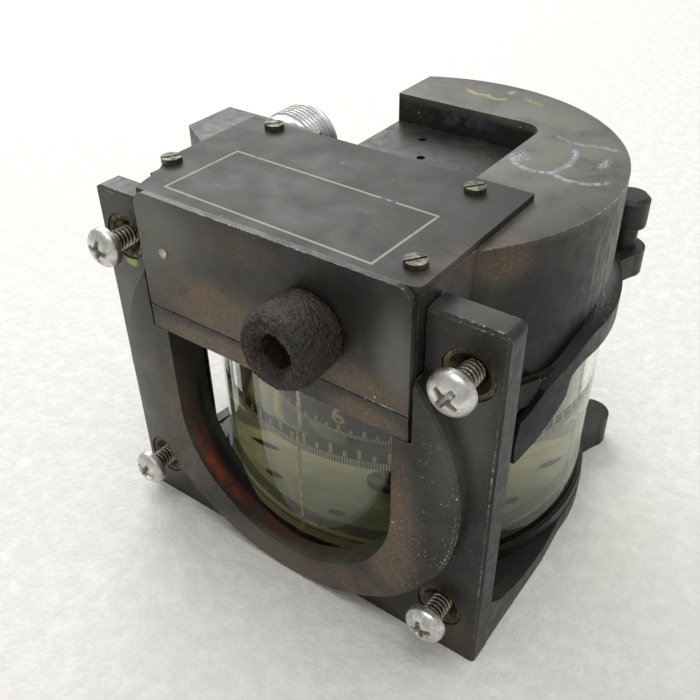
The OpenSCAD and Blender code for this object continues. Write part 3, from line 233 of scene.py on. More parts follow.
# Painted shade: the flange's right side face is darkened to near black.
tone = coat(frame_mat, tone, "#070707", within(frame_mat, (51.4, -46.2, 46), (1.4, 4.6, 62), 0.15), 0.9)
# Painted shade: the right-hand side of the base and of the bowl's floor is darkened.
tone = coat(frame_mat, tone, "#0d0c0b", within(frame_mat, (40, -10, 6), (26, 30, 22), 0.5), 0.6)
lay_on(frame_mat, Base_Color=tone)
dress(frame_mat, "main_frame")

# Enamel on the top casting: the wall keeps the lathe's upright tool marks, and chalk and cloth have
# scuffed the top face. The bottom cover has the enamel alone.
top_z = 93
# Painted sheen lightens the whole top face and the upper left of the casting.
painted_sheen = [((14, 14, top_z), (60, 60, 3), 1.1), ((-39, -16, 88), (14, 14, 12), 0.5)]
browned = [((-14, -53, 63), (28, 5, 4.5), 1.2), ((24, -53, 63), (14, 5, 4.5), 1.2),
           ((38, -30, 90), (9, 12, 8), 0.9)]
chipped = [((34, -33, top_z), (6, 12, 1.5), 0.3), ((47, 0, top_z), (5, 22, 1.5), 0.35),
           ((0, -53.3, 61.4), (36, 2, 1.5), 0.4)]
cast_mat, tone = black_enamel("black_enamel_on_cast_aluminium_top", painted_sheen, browned, chipped, streaks=0.8)
# Painted shade darkens the right-hand front of the wall to near black.
tone = coat(cast_mat, tone, "#0a0909", within(cast_mat, (43, -14, 64), (13, 29, 27), 0.4))
scratch = patches(cast_mat, place(cast_mat, stretch=(1, 1, 0.025)), 0.7, 0.54, 0.64, 4.0)
tone = coat(cast_mat, tone, "#96958c", scratch, within(cast_mat, (47, 3, 76), (9, 14, 18), 0.8), 0.6)

# Strokes of chalk: centre and radius of each round line, then the middle and half axes of the stretch
# that shows, and its colour. The smudges after them have a middle and half axes.
at = place(cast_mat)
for centre, radius, middle, reach, code in (
        ((27.5, 11.5), 7.6, (27.0, 5.5), (7.0, 4.2), "#a9aebb"),
        ((36.5, 12.0), 8.4, (38.5, 5.0), (7.0, 4.4), "#b2b6c2"),
        ((20.5, 12.0), 12.4, (32.0, 13.0), (3.4, 8.0), "#a3a8b5"),
        ((30.0, 34.5), 12.0, (29.5, 23.0), (7.0, 3.0), "#959aa8"),
        ((-4.4, 43.0), 5.2, (-5.0, 38.0), (5.0, 2.6), "#a9a545"),
        ((0.6, 40.5), 3.4, (0.6, 37.5), (4.0, 3.0), "#9aa04a"),
        ((12.2, 46.4), 6.6, (9.6, 40.2), (4.0, 2.4), "#93993f")):
    stroke = ringed(cast_mat, (*centre, top_z), radius, 0.25, 0.75)
    shown = within(cast_mat, (*middle, top_z), (*reach, 3), 0.3)
    tone = coat(cast_mat, tone, code, stroke, shown, patches(cast_mat, at, 1.1, 0.36, 0.62, 5.0, 0.7), 0.9)
for middle, reach in (((39.2, 15.5), (1.8, 4.0)), ((37.6, 23.6), (3.2, 1.2)),
                      ((22.0, 9.0), (3.4, 4.2)), ((2.6, 43.4), (1.6, 2.2))):
    smudge = within(cast_mat, (*middle, top_z), (*reach, 2))
    tone = coat(cast_mat, tone, "#b3b7c3", smudge, patches(cast_mat, at, 0.8, 0.42, 0.62, 5.0, 0.7), 0.75)
dusty = within(cast_mat, (-6, 28.3, 90), (24, 1.5, 4.5), 0.5)
tone = coat(cast_mat, tone, "#5b6170", dusty, patches(cast_mat, at, 3.2, 0.42, 0.60), 0.9)
lay_on(cast_mat, Base_Color=tone)
dress(cast_mat, "top_casting")
dress(black_enamel("black_enamel_on_turned_aluminium_cover", [], [], [])[0], "bottom_cover")

# Threaded inserts in the flange: turned brass bushes pressed in from behind and countersunk.
# Old paint, grease and verdigris have browned them; the rim of the countersink keeps an amber shine.


def old_metal(name, clean, dark, dirt, size, rough=0.42):
    """Bare brass, nickel, steel or aluminium: clean colour, with tarnish in patches size mm across."""
    mat = new_finish(name, Metallic=1.0)
    at = place(mat)
    stain = patches(mat, at, size, 0.5 - dirt * 0.3, 0.5 + dirt * 0.3, 5.0, 0.65)
    tone = coat(mat, clean, dark, stain)

    # The tool's fine lines are drawn as a grain 0.25 mm across, which is as coarse as it needs to be to show.
    grain = add(mat, "TexNoise", {"Vector": at, "Scale": 1 / 0.25, "Detail": 2.0})
    lay_on(mat, Base_Color=tone, Roughness=add(mat, "MapRange", {0: stain, 3: rough * 0.75, 4: rough * 1.35}),
           Normal=add(mat, "Bump", {"Height": grain, "Distance": 0.03 * mm, "Strength": 0.3}))
    return mat, tone


insert_mat, tone = old_metal("browned_brass_bush", "#736a58", "#39342a", 0.7, 1.3, 0.5)
tone = coat(insert_mat, tone, "#8a7142", worn_edges(insert_mat, 0.35, 1.4), 0.7)
dress(lay_on(insert_mat, Base_Color=tone), "screw_inserts")

# Panel screws: number 10 pan heads with a cross recess, cold-headed brass with dull nickel plate.
# They stand backed out of their inserts, so the rolled thread shows between head and flange.
# The nickel gives a soft grey shine, and brown grime with painted shade darkens the recess and the thread's
# roots.
screw_mat, tone = old_metal("dull_nickel_plated_brass", "#e4e4e0", "#b3b1a9", 0.55, 2.2, 0.38)
thread_mat, ridge = old_metal("worn_nickel_thread", "#cbc8ba", "#8d8875", 0.6, 1.0, 0.36)
for mat, shade, deep in ((screw_mat, tone, "#5d5646"), (thread_mat, ridge, "#2f2a1f")):
    # Ambient occlusion lays painted shade, in the colour of brown grime, into the cross recess and the
    # thread's roots.
    open_sky = add(mat, "AmbientOcclusion", {"Distance": 0.8 * mm}, out="AO", samples=8)
    grime_and_painted_shade = add(mat, "MapRange", {0: open_sky, 1: 0.92, 2: 0.55}, interpolation_type="SMOOTHSTEP")
    lay_on(mat, Base_Color=coat(mat, shade, deep, grime_and_painted_shade))


def skin(name, points, mat, body, ends=False):
    """Surface through a grid of points in rows: each row closes on itself, ends caps the first and last."""
    rows, cols = points.shape[:2]
    here = np.arange(rows * cols).reshape(rows, cols)
    nxt = np.roll(here, -1, axis=1)
    faces = np.stack([here[:-1], nxt[:-1], nxt[1:], here[1:]], axis=-1).reshape(-1, 4).tolist()
    if ends:
        faces += [here[0, ::-1].tolist(), here[-1].tolist()]
    mesh = bpy.data.meshes.new(name)
    mesh.from_pydata(points.reshape(-1, 3), [], faces)
    mesh.polygons.foreach_set("use_smooth", np.full(len(mesh.polygons), True))
    crease = 0.7
    mesh.set_sharp_from_angle(angle=crease)
    mesh.materials.append(mat)
    piece = bpy.data.objects.new(name, mesh)
    bpy.context.scene.collection.objects.link(piece)
    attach(piece, body)
    return piece


def along_y(radius, angle, y, x, z):
    """Points of a round surface whose axis lies along Y: radius and y may vary over the grid."""
    return np.stack([x + radius * np.cos(angle), y + 0 * radius, z + radius * np.sin(angle)], axis=-1)


def rolled_thread(name, r_out, depth, pitch, y0, y1, x, z, mat, body):
    """Helical ridge: the radius falls as a triangle wave of the turns along y less the turns round."""
    rows_a_turn, sides = 14, 48
    rows = int((y1 - y0) / pitch * rows_a_turn) + 1
    whole_turn = np.linspace(0, 2 * np.pi, sides, endpoint=False)
    y, angle = np.meshgrid(np.linspace(y0, y1, rows), whole_turn, indexing="ij")
    wave = np.clip(np.abs(((y - y0) / pitch - angle / (2 * np.pi)) % 1.0 * 2 - 1) * 1.3 - 0.1, 0, 1)
    fade = np.clip(np.minimum(y - y0, y1 - y) / pitch, 0, 1)
    return skin(name, along_y(r_out - depth * (1 - wave * fade), angle, y, x, z), mat, body, ends=True)


def cross_head(name, r, height, x, z, y_under, turn, mat, body):
    """Domed head facing the front: an ellipse's arc over a short wall, less a cross that deepens inwards."""
    rings, sides = 90, 144
    whole_turn = np.linspace(0, 2 * np.pi, sides, endpoint=False)
    t, angle = np.meshgrid(np.linspace(0, 1, rings), whole_turn, indexing="ij")
    rad = r * np.sin(t * np.pi / 2) ** 0.9
    wall, deepest = 0.30 * height, 0.66 * height
    arm, corner, bevel, reach = 0.17 * r, 0.27 * r, 0.06 * r, 0.58 * r
    dome = wall + (height - wall) * np.sqrt(np.maximum(1 - (rad / r) ** 2.2, 0))
    u, v = np.abs(rad * np.cos(angle + turn)), np.abs(rad * np.sin(angle + turn))
    half = arm * (1 - 0.30 * rad / r)
    inside = np.minimum(np.minimum(u, v) - half, rad - corner)
    cut = np.clip(-inside / bevel, 0, 1) * np.clip(1.0 - rad / reach, 0, 1) ** 0.5 * deepest
    top = along_y(rad, angle, y_under - (dome - cut), x, z)
    foot = np.stack([along_y(rad[-1] * k, angle[0], np.full(sides, y_under), x, z) for k in (1.0, 0.5)])
    return skin(name, np.concatenate([top, foot]), mat, body, ends=True)


low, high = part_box("panel_screws")
head_r, head_h, thread_r, groove, pitch = 4.6 * mm, 3.4 * mm, 2.4 * mm, 0.55 * mm, 1.0 * mm
under_head = low[1] + head_h
screws = ((-43.6, 12.8, 0.5), (41.2, 13.4, 1.25), (-43.6, 79.2, 0.15), (43.6, 79.2, 0.62))
for n, (x, z, turn) in enumerate(screws):
    x, z = x * mm, z * mm
    cross_head(f"pan_head_{n}", head_r, head_h, x, z, under_head, turn, screw_mat, "housing")
    rolled_thread(f"screw_thread_{n}", thread_r, groove, pitch, under_head - 0.2 * mm, high[1],
                                x, z, thread_mat, "housing")
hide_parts("panel_screws")

# Foot of the bowl: brass diaphragm, clamping ring and cover screws under the floor,
# cork and rubber gaskets above it, all hidden or seen only edge-on.
# Machined brass is yellow and half bright, and old lacquer leaves the diaphragm a flat straw colour.
brass_mat = old_metal("machined_brass", "#b8975a", "#7d6236", 0.5, 3, 0.34)[0]
dress(old_metal("lacquered_brass_diaphragm", "#a39c7c", "#7a745a", 0.5, 3, 0.8)[0], "expansion_diaphragm")
dress(brass_mat, "clamp_ring", "pin_ferrule", "compensator_frame", "ew_drive_gear", "ew_idler_gear",
      "ns_drive_gear", "ns_driven_gear", "lamp_socket", "filler_plug")

# Blackened screws are near black with a dull sheen, and the cap screws share the castings' enamel.
dark_screw_mat = old_metal("blackened_brass_screw", "#2c2b2a", "#151514", 0.5, 1.5, 0.48)[0]
dress(dark_screw_mat, "bottom_screws", "tie_bolts", "tie_nuts")
chipped = [((0, 36, 78), (60, 12, 1), 0.3)]
dress(black_enamel("black_enamel_on_brass_cap_screw", [], [], chipped, base="#191918")[0], "lug_cap_screws")

# Cork bound in rubber shows as a dark, matt, crumbly edge.
gasket_mat = new_finish("cork_and_rubber_sheet", Roughness=0.85)
grain = patches(gasket_mat, place(gasket_mat), 0.8, 0.3, 0.7)
lay_on(gasket_mat, Base_Color=coat(gasket_mat, "#0f0d0b", "#211a14", grain),
       Normal=add(gasket_mat, "Bump", {"Height": grain, "Distance": 0.1 * mm, "Strength": 0.4}))
dress(gasket_mat, "lower_gasket", "upper_gasket", "plug_washer")

# Bowl: a ground length of clear borosilicate tube, faintly green at its edges, with a few wiped smears.
# It stands between the gaskets and holds the liquid; a line of red-brown sealant runs round its foot.
glass_mat = new_finish("borosilicate_glass_tube", IOR=1.47, Transmission_Weight=1.0, Roughness=0.0)
smear = patches(glass_mat, place(glass_mat, stretch=(1, 1, 0.5)), 11, 0.35, 0.7)
lay_on(glass_mat, Base_Color=coat(glass_mat, "#fbfdf8", "#f1f4ea", smear))


def let_light_through(mat, tint):
    """Shadow rays meet a tinted transparent surface, so that the lamps light what stands behind the glass."""
    clear = add(mat, "BsdfTransparent", {"Color": linear(tint)})
    shadow = add(mat, "LightPath", out="Is Shadow Ray")
    shader = mat.node_tree.nodes["Principled BSDF"].outputs[0]
    both = add(mat, "MixShader", {0: shadow, 1: shader, 2: clear})
    mat.node_tree.links.new(both, mat.node_tree.nodes["Material Output"].inputs["Surface"])


let_light_through(glass_mat, "#f4f7ee")
dress(glass_mat, "glass_bowl", "lamp_window")


def mottled(name, light, dark, size, low=0.3, high=0.7, **sockets):
    """Finish in two close tones: cloudy patches size mm across lead from the first to the second."""
    mat = new_finish(name, **sockets)
    return lay_on(mat, Base_Color=coat(mat, light, dark, patches(mat, place(mat), size, low, high)))


# Sealant set hard is dull red-brown, and lighter where it has dried thin.
sealant_mat = mottled("red_brown_sealant", "#3d1a12", "#6a3a24", 2.5, 0.35, 0.65, Roughness=0.6)
bore_r = 45.3 * mm
bead_r, bead_z = 0.2 * mm, 11.6 * mm


def turned(profile, angles=128):
    """Surface of revolution about the bowl's axis: each row is one (radius, height) of the profile."""
    profile = np.asarray(profile, float)
    angle = np.linspace(0, 2 * np.pi, angles, endpoint=False)
    r, z = profile[:, :1], profile[:, 1:]
    return np.stack([r * np.cos(angle), r * np.sin(angle), z + 0 * angle], axis=-1)


around = np.linspace(0, 2 * np.pi, 10)
bead = [bore_r - 0.22 * mm + bead_r * np.cos(around), bead_z + 1.2 * bead_r * np.sin(around)]
skin("sealant_line", turned(np.stack(bead, axis=-1), 160), sealant_mat, "housing")

# One drop clings to the glass above the bead, a flat ellipsoid of clear brown that shines like varnish.
amber_mat = mottled("amber_sealant_drop", "#8a6a22", "#3f2c12", 1.6, 0.35, 0.6, Roughness=0.3)
drop_at, drop_z, out_way = np.radians(-83.0), 15.0 * mm, bore_r - 0.25 * mm
drop_w, drop_h, drop_t = 0.8 * mm, 1.7 * mm, 0.22 * mm
spin = np.linspace(0, np.pi, 17)[:, None]
side = np.linspace(0, 2 * np.pi, 24, endpoint=False)[None]
wide, tall = drop_w * np.sin(spin) * np.cos(side), drop_h * np.cos(spin) + 0 * side
off = out_way + drop_t * np.sin(spin) * np.sin(side)
drop = np.stack([off * np.cos(drop_at) - wide * np.sin(drop_at),
                 off * np.sin(drop_at) + wide * np.cos(drop_at), drop_z + tall], axis=-1)
skin("amber_drop", drop, amber_mat, "housing")

# Liquid: clear kerosene-like compass fluid, yellowed with age and fallen below the card's top.
# It wets the floor, climbs a little at the glass, and fills the floor's holes down to the diaphragm.
liquid_mat = mottled("aged_compass_fluid", "#f6f4e2", "#efecd2", 25,
                     IOR=1.44, Transmission_Weight=1.0, Roughness=0.0)
let_light_through(liquid_mat, "#f0eedb")
level, climb, wall = 41.9 * mm, 0.5 * mm, bore_r + 0.04 * mm
foot, floor_r, floor_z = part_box("expansion_diaphragm")[1][2] + 0.02 * mm, 44.82 * mm, 8.5 * mm
profile = [(0.01 * mm, foot), (floor_r, foot), (floor_r, floor_z), (wall, floor_z + 0.02 * mm),
           (wall, level + climb)]
profile += [(wall - t * 1.2 * mm, level + climb * (1 - t) ** 2.5) for t in np.linspace(0.1, 1, 8)]
profile += [(30 * mm, level), (15 * mm, level), (0.01 * mm, level)]
skin("compass_liquid", turned(profile), liquid_mat, "housing", ends=True)

# Lubber line: a straight wire fixed ahead of the card from floor to ceiling.
# It is dipped in tan enamel, which gives a plain straw colour, worn a little darker.
dress(mottled("tan_enamel_wire", "#e6d6a0", "#b7a470", 2, 0.35, 0.65, Roughness=0.5), "lubber_wire")

# Card: a thin black anodised band on a pressed web, with its float and two bar magnets.
# Degrees are fine white strokes, and the five and ten degree strokes and the figures are cream paint.

# Anodising is a flat black without a highlight, the float's lacquer a soft olive, the cream paint warm
# and chalky, and the white colder and thinner.
dress(mottled("matt_black_anodised_band", "#191a18", "#252623", 6, Roughness=0.62), "card_ring")
dress(mottled("olive_lacquered_float", "#85805a", "#6b6748", 5, Roughness=0.5), "card_float")
cream_mat = mottled("cream_luminous_paint", "#f4e6ae", "#d6c07e", 1, 0.35, 0.65, Roughness=0.7)
white_mat = mottled("fine_white_paint_stroke", "#f6f6f0", "#dadad0", 1, 0.35, 0.65, Roughness=0.6)
low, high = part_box("card_ring")
card_r, card_foot, heading = high[0], low[2], 52.4


def card_angle(mark):
    """Polar angle of a mark of the card: the heading stands at the front, and marks run up to the right."""
    return np.radians(-90 + (np.asarray(mark, float) - heading))


def strokes(name, marks, width, z0, z1, mat):
    """Thin curved bars on the band, one a mark: two radii, four sides and two heights give eight corners."""
    marks = np.asarray(marks, float)
    half = width / 2 / card_r
    turn = card_angle(marks)[:, None] + np.array([-half, half, half, -half] * 2)
    radius = card_r + np.array([-0.05, -0.05, 0.035, 0.035] * 2) * mm
    height = np.array([z0] * 4 + [z1] * 4)
    points = np.stack([radius * np.cos(turn), radius * np.sin(turn), height + 0 * turn], axis=-1)
    box = np.array([[0, 3, 2, 1], [4, 5, 6, 7], [0, 1, 5, 4], [1, 2, 6, 5], [2, 3, 7, 6], [3, 0, 4, 7]])
    faces = (box[None] + 8 * np.arange(len(marks))[:, None, None]).reshape(-1, 4)
    mesh = bpy.data.meshes.new(name)
    mesh.from_pydata(points.reshape(-1, 3), [], faces.tolist())
    mesh.materials.append(mat)
    piece = bpy.data.objects.new(name, mesh)
    bpy.context.scene.collection.objects.link(piece)
    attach(piece, "card")
    return piece


every = np.arange(360)
fine_w, broad_w = 0.33 * mm, 0.75 * mm
fine_foot, broad_foot, figure_foot = card_foot + 0.1 * mm, card_foot + 2.3 * mm, card_foot + 6.3 * mm
strokes("degree_strokes", every, fine_w, fine_foot, card_foot + 2.1 * mm, white_mat)
strokes("five_degree_strokes", every[5::10], broad_w, broad_foot, card_foot + 4.0 * mm, cream_mat)
strokes("ten_degree_strokes", every[::10], broad_w, broad_foot, card_foot + 5.3 * mm, cream_mat)


def figure(text, mark, tall, foot):
    """One figure of the card: flat lettering as a mesh, bent round the band by turning width into angle."""
    bolder, narrower = 0.02, 0.78
    curve = bpy.data.curves.new("figure", "FONT")
    curve.body, curve.size, curve.align_x, curve.resolution_u = text, 1.0, "CENTER", 6
    curve.offset = bolder
    flat = bpy.data.objects.new("figure", curve)
    bpy.context.scene.collection.objects.link(flat)
    bpy.context.view_layer.update()
    mesh = bpy.data.meshes.new_from_object(flat.evaluated_get(bpy.context.evaluated_depsgraph_get()))
    bpy.data.objects.remove(flat)
    co = np.zeros(len(mesh.vertices) * 3)
    mesh.vertices.foreach_get("co", co)
    co = co.reshape(-1, 3)
    co *= tall / (co[:, 1].max() - co[:, 1].min())
    turn = card_angle(mark) + co[:, 0] * narrower / card_r
    r = card_r + 0.04 * mm
    bent = np.stack([r * np.cos(turn), r * np.sin(turn), foot + co[:, 1] - co[:, 1].min()], axis=-1)
    mesh.vertices.foreach_set("co", bent.ravel())
    mesh.materials.clear()
    mesh.materials.append(cream_mat)
    mesh.name = f"figure_{text}_{mark}"
    piece = bpy.data.objects.new(mesh.name, mesh)
    bpy.context.scene.collection.objects.link(piece)
    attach(piece, "card")
    return piece


quarters = {0: "N", 90: "E", 180: "S", 270: "W"}
for mark in range(0, 360, 30):
    figure(quarters.get(mark, str(mark // 10)), mark, 7.2 * mm, figure_foot)

# Pivot and its sprung post: blackened bronze in the liquid, with a hard alloy point in a red sapphire cup.
# The compensator's shafts are turned nickel brass, and the magnets are sintered alloy.

# The bronze is dark brown with little shine, polished metal catches small bright lights, the sintered
# alloy is dark grey and granular, and the sapphire glows deep red where light passes through it.
stem_mat = old_metal("blackened_bronze", "#4b4530", "#2a271b", 0.5, 3, 0.5)[0]
dress(stem_mat, "pivot_stem", "jewel_post")
steel_mat = old_metal("polished_hard_alloy", "#d5d6d8", "#9a9b9d", 0.4, 2, 0.22)[0]
dress(steel_mat, "pivot_tip", "pivot_pin", "post_spring", "screw_clip", "compensator_screws", "ew_adjuster",
      "ew_idler_shaft", "ns_adjuster", "ns_shaft")
magnet_mat = old_metal("sintered_magnet_alloy", "#4a4a4d", "#2c2c2e", 0.5, 1.5, 0.5)[0]
dress(magnet_mat, "card_magnets", "ew_drive_magnet", "ew_idler_magnet", "ns_magnet")
jewel_mat = mottled("polished_red_sapphire", "#c0284a", "#8a1230", 1,
                    IOR=1.76, Transmission_Weight=0.8, Roughness=0.05)
dress(jewel_mat, "jewel")

# Plate on the top face: black anodised aluminium sheet, left bare, with a bright engraved border line.
# The sheet is a dull charcoal, scuffed pale along its length, browned at the right and chipped at the edge.
# Its screws are slotted cheese heads in dull nickel with old paint in the slots.
plate_mat = new_finish("black_anodised_sheet", Specular_IOR_Level=0.25)

# The border is a rectangle's outline: the larger of the distances past its sides and past its ends is 0.
plate_x, plate_y, plate_z = -3.0, -37.9, 94.6
border_half = (26.2, 10.8)
centred = place(plate_mat, (plate_x, plate_y, 0))
turn = add(plate_mat, "VectorRotate", {"Vector": centred, "Angle": np.radians(1.4)})
parts = add(plate_mat, "SeparateXYZ", {0: turn}).node.outputs
across, deep = (add(plate_mat, "Math", {0: add(plate_mat, "Math", {0: part}, operation="ABSOLUTE"), 1: half},
                    operation="SUBTRACT") for part, half in zip(parts, border_half))
out = add(plate_mat, "Math", {0: across, 1: deep}, operation="MAXIMUM")
off = add(plate_mat, "Math", {0: out}, operation="ABSOLUTE")
line = add(plate_mat, "MapRange", {0: off, 1: 0.36, 2: 0.22}, interpolation_type="SMOOTHSTEP")
at = place(plate_mat)
cloud = patches(plate_mat, at, 10, 0.3, 0.7)
tone = coat(plate_mat, "#292927", "#343431", cloud)
dusty = within(plate_mat, (-2, -36, plate_z), (56, 40, 4), 0.7)
tone = coat(plate_mat, tone, "#55564f", dusty, patches(plate_mat, at, 6, 0.2, 0.7), 0.4)
browned = within(plate_mat, (37, -42, plate_z), (9, 15, 3), 0.9)
tone = coat(plate_mat, tone, "#6b5546", browned, patches(plate_mat, at, 3, 0.3, 0.6), 0.6)
rub = patches(plate_mat, place(plate_mat, stretch=(0.25, 1, 1)), 1.2, 0.62, 0.74, 6.0, 0.7)
tone = coat(plate_mat, tone, "#9a9a94", rub, 0.4)
rust = patches(plate_mat, at, 1.0, 0.60, 0.70)
tone = coat(plate_mat, tone, "#70523c", rust, within(plate_mat, (6, -50, plate_z), (30, 8, 3)), 0.6)
tone = coat(plate_mat, tone, "#96968b", line, patches(plate_mat, at, 5, 0.30, 0.40), 0.85)
tone = coat(plate_mat, tone, "#b5b2a6", grains(plate_mat, 1.0, 0.004), 0.8)
chipped = regions(plate_mat, [((-4, -54, plate_z), (46, 4, 3), 0.75), ((0, -36, plate_z), (60, 30, 3), 0.3)])
tone = coat(plate_mat, tone, "#e0ded4", worn_edges(plate_mat, 0.5, 0.7, 0.47), chipped)
lay_on(plate_mat, Base_Color=tone, Roughness=add(plate_mat, "MapRange", {0: cloud, 3: 0.46, 4: 0.6}),
       Normal=add(plate_mat, "Bump", {"Height": line, "Distance": 0.05 * mm, "Strength": 0.3}, invert=True))
dress(plate_mat, "name_plate")
dress(old_metal("dull_nickel_cheese_head", "#7c796b", "#48463b", 0.7, 1.4, 0.5)[0], "plate_screws")

# Front cover: folded aluminium sheet in the same black enamel, browned by years of warm lamp and thumbs.
# A steel dowel shows flush in its left side, a small pale disc.
# Painted sheen lightens the cover's left part and its right end.
painted_sheen = [((-34, -54, 88), (28, 5, 22), 0.9), ((31, -54, 78), (7, 5, 16), 0.9)]
browned = [((-14, -54, 72), (25, 5, 12), 1.2), ((24, -54, 69), (15, 5, 8), 1.1),
           ((-6, -54, 90), (18, 5, 6), 0.35)]
chipped = [((-34, -53.4, 80), (2, 2, 14), 0.4), ((0, -53.4, 95), (34, 2, 2), 0.4),
           ((26, -53.4, 67.6), (10, 2, 1.4), 1.0)]
dress(black_enamel("black_enamel_on_sheet_cover", painted_sheen, browned, chipped, base="#222220")[0], "front_cover")
dress(old_metal("dull_steel_dowel", "#c9c5bb", "#8d897d", 0.5, 1, 0.5)[0], "cover_dowel")

# Thumb screw: a turned brass core under a moulded rubber grip.
# The rubber is a smooth barrel gone hard: long cracks, a worn mouth, rust-red dust in the pores and the hole.
dress(old_metal("darkened_brass_core", "#6d6656", "#2f2a22", 0.6, 1, 0.45)[0], "thumb_screw")
rubber_mat = new_finish("cracked_hard_rubber", IOR=1.52)
low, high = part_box("knob_grip")
knob_x, knob_z = (low[0] + high[0]) / 2, (low[2] + high[2]) / 2
knob_r, knob_l = (high[0] - low[0]) / 2, high[1] - low[1]


def cracks(points, size, seed):
    """Distance to the wall between random cells, as a share of the cell: second nearest seed less nearest."""
    # Large unlike numbers, so that the sine scatters the seeds of neighbouring cells.
    lattice = np.array([[127.1, 269.5, 113.5], [311.7, 183.3, 271.9], [74.7, 246.1, 124.6]])
    cell = np.floor(points / size)
    best = np.full((2, len(points)), 9.0)
    for shift in np.stack(np.meshgrid(*[[-1, 0, 1]] * 3), -1).reshape(-1, 3):
        corner = cell + shift
        mix = np.sin(corner @ lattice + seed) * 43758.5453
        away = np.linalg.norm(corner + (mix - np.floor(mix)) - points / size, axis=1)
        best = np.sort(np.concatenate([best, away[None]]), axis=0)[:2]
    return best[1] - best[0]


# The grip's outline runs from its root along the barrel, over the rim, down the cone and into the hole.
barrel_rows, rim_rows, cone_rows, hole_rows = 150, 16, 30, 20
root_r, mouth_r, hole_r, cone_l, hole_l = 4.7 * mm, 5.3 * mm, 3.6 * mm, 1.8 * mm, 6.2 * mm
t = np.linspace(0, 1, barrel_rows)
belly = (2 * t - 1) ** 2
shoulder, neck = np.clip((t - 0.74) / 0.26, 0, 1) ** 2.2, np.clip(1 - t / 0.16, 0, 1) ** 2
barrel = knob_r - 0.30 * mm * belly - 1.1 * mm * shoulder - 0.7 * mm * neck
cone = np.linspace(0, 1, cone_rows)
path_r = np.concatenate([[root_r], barrel, np.linspace(barrel[-1] - 0.1 * mm, mouth_r, rim_rows),
                         mouth_r + (hole_r - mouth_r) * cone ** 0.8, np.full(hole_rows, hole_r)])
path_y = np.concatenate([[0.0], t * (knob_l - 0.2 * mm), np.full(rim_rows, knob_l - 0.02 * mm),
                         knob_l - cone_l * cone ** 1.3 - 0.03 * mm,
                         knob_l - np.linspace(cone_l + 0.1 * mm, hole_l, hole_rows)])
angle = np.linspace(0, 2 * np.pi, 320, endpoint=False)
grid_r, grid_y, turn = (a + 0 * angle + 0 * path_r[:, None]
                        for a in (path_r[:, None], path_y[:, None], angle[None]))

# Cracks, pits and pores are cells of three sizes, cut in where two cells meet; the mouth's lip is bitten.
crack_deep, pit_deep, pore_deep, bite_deep = 0.26 * mm, 0.17 * mm, 0.07 * mm, 0.14 * mm
flat = along_y(grid_r, turn, -grid_y, 0, 0).reshape(-1, 3)
warp = flat + 0.5 * mm * np.sin(flat[:, [1, 2, 0]] / (0.9 * mm))
long_crack = cracks(warp * np.array([1, 0.35, 1]), 5.5 * mm, 3.0).reshape(grid_r.shape)
pitted = cracks(warp, 1.3 * mm, 7.0).reshape(grid_r.shape)
pores = cracks(warp, 0.85 * mm, 11.0).reshape(grid_r.shape)
ragged = np.clip(np.sin(turn * 2.0 + 0.6) * 0.6 + np.sin(turn * 5 + grid_y / mm) * 0.4, 0, 1)
sink = np.clip(1 - long_crack / 0.035, 0, 1) * crack_deep * ragged
sink = sink + np.clip(1 - pitted / 0.35, 0, 1) * pit_deep + np.clip(1 - pores / 0.35, 0, 1) * pore_deep
bite = np.exp(-((grid_y - knob_l) / (1.6 * mm)) ** 2) * np.clip(1 - pitted / 0.3, 0, 1) * bite_deep
swell = 0.03 * mm * (1 + np.sin(turn * 3 + grid_y / (2 * mm))) * np.clip(grid_y / knob_l * 4, 0, 1)
count = np.arange(len(path_r))[:, None]
on_rim, in_mouth = count > barrel_rows, count > barrel_rows + rim_rows
grid_r = grid_r - np.where((count > 0) & ~on_rim, sink + bite + swell, 0)
grid_r = grid_r + np.where(in_mouth, 0.12 * mm * np.sin(turn * 4 + 1) + 0.3 * sink, 0)
grid_y = grid_y - np.where(on_rim, sink + bite, 0)
surface = along_y(grid_r, turn, high[1] - grid_y, knob_x, knob_z)
grip = skin("cracked_rubber_grip", surface[:, ::-1], rubber_mat, "knob")
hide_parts("knob_grip")
at = place(rubber_mat, (knob_x / mm, 0, knob_z / mm))
tone = coat(rubber_mat, "#171311", "#2f2a23", patches(rubber_mat, at, 5, 0.3, 0.7))
dust = patches(rubber_mat, at, 0.5, 0.55, 0.65, 4.0, 0.7)
band = patches(rubber_mat, at, 4, 0.44, 0.58)
tone = coat(rubber_mat, tone, "#8f4629", dust, band, 0.75)
# Painted highlights: pale grey glints, in small specks, inside the region given below.
painted_sheen = within(rubber_mat, (-4, -60, 6), (9, 9, 7), 0.9)
tone = coat(rubber_mat, tone, "#6b6963", patches(rubber_mat, at, 0.6, 0.56, 0.68), painted_sheen, 0.7)
hole = within(rubber_mat, (knob_x / mm, (low[1] + 5 * mm) / mm, knob_z / mm), (4.4, 6.5, 4.4), 0.15)
tone = coat(rubber_mat, tone, "#5b3423", hole, patches(rubber_mat, at, 1.0, 0.40, 0.60))
seam = add(rubber_mat, "TexVoronoi", {"Vector": at, "Scale": 1 / 2.2}, feature="DISTANCE_TO_EDGE")
pore = add(rubber_mat, "MapRange", {0: seam, 1: 0.06, 2: 0.01}, interpolation_type="SMOOTHSTEP")
tone = coat(rubber_mat, tone, "#0b0909", pore, patches(rubber_mat, at, 6, 0.42, 0.54), 0.85)
grit = add(rubber_mat, "TexNoise", {"Vector": at, "Scale": 1 / 0.5, "Detail": 5.0, "Roughness": 0.75})
lay_on(rubber_mat, Base_Color=tone, Roughness=add(rubber_mat, "MapRange", {0: band, 3: 0.36, 4: 0.56}),
       Normal=add(rubber_mat, "Bump", {"Height": grit, "Distance": 0.3 * mm, "Strength": 0.9}))

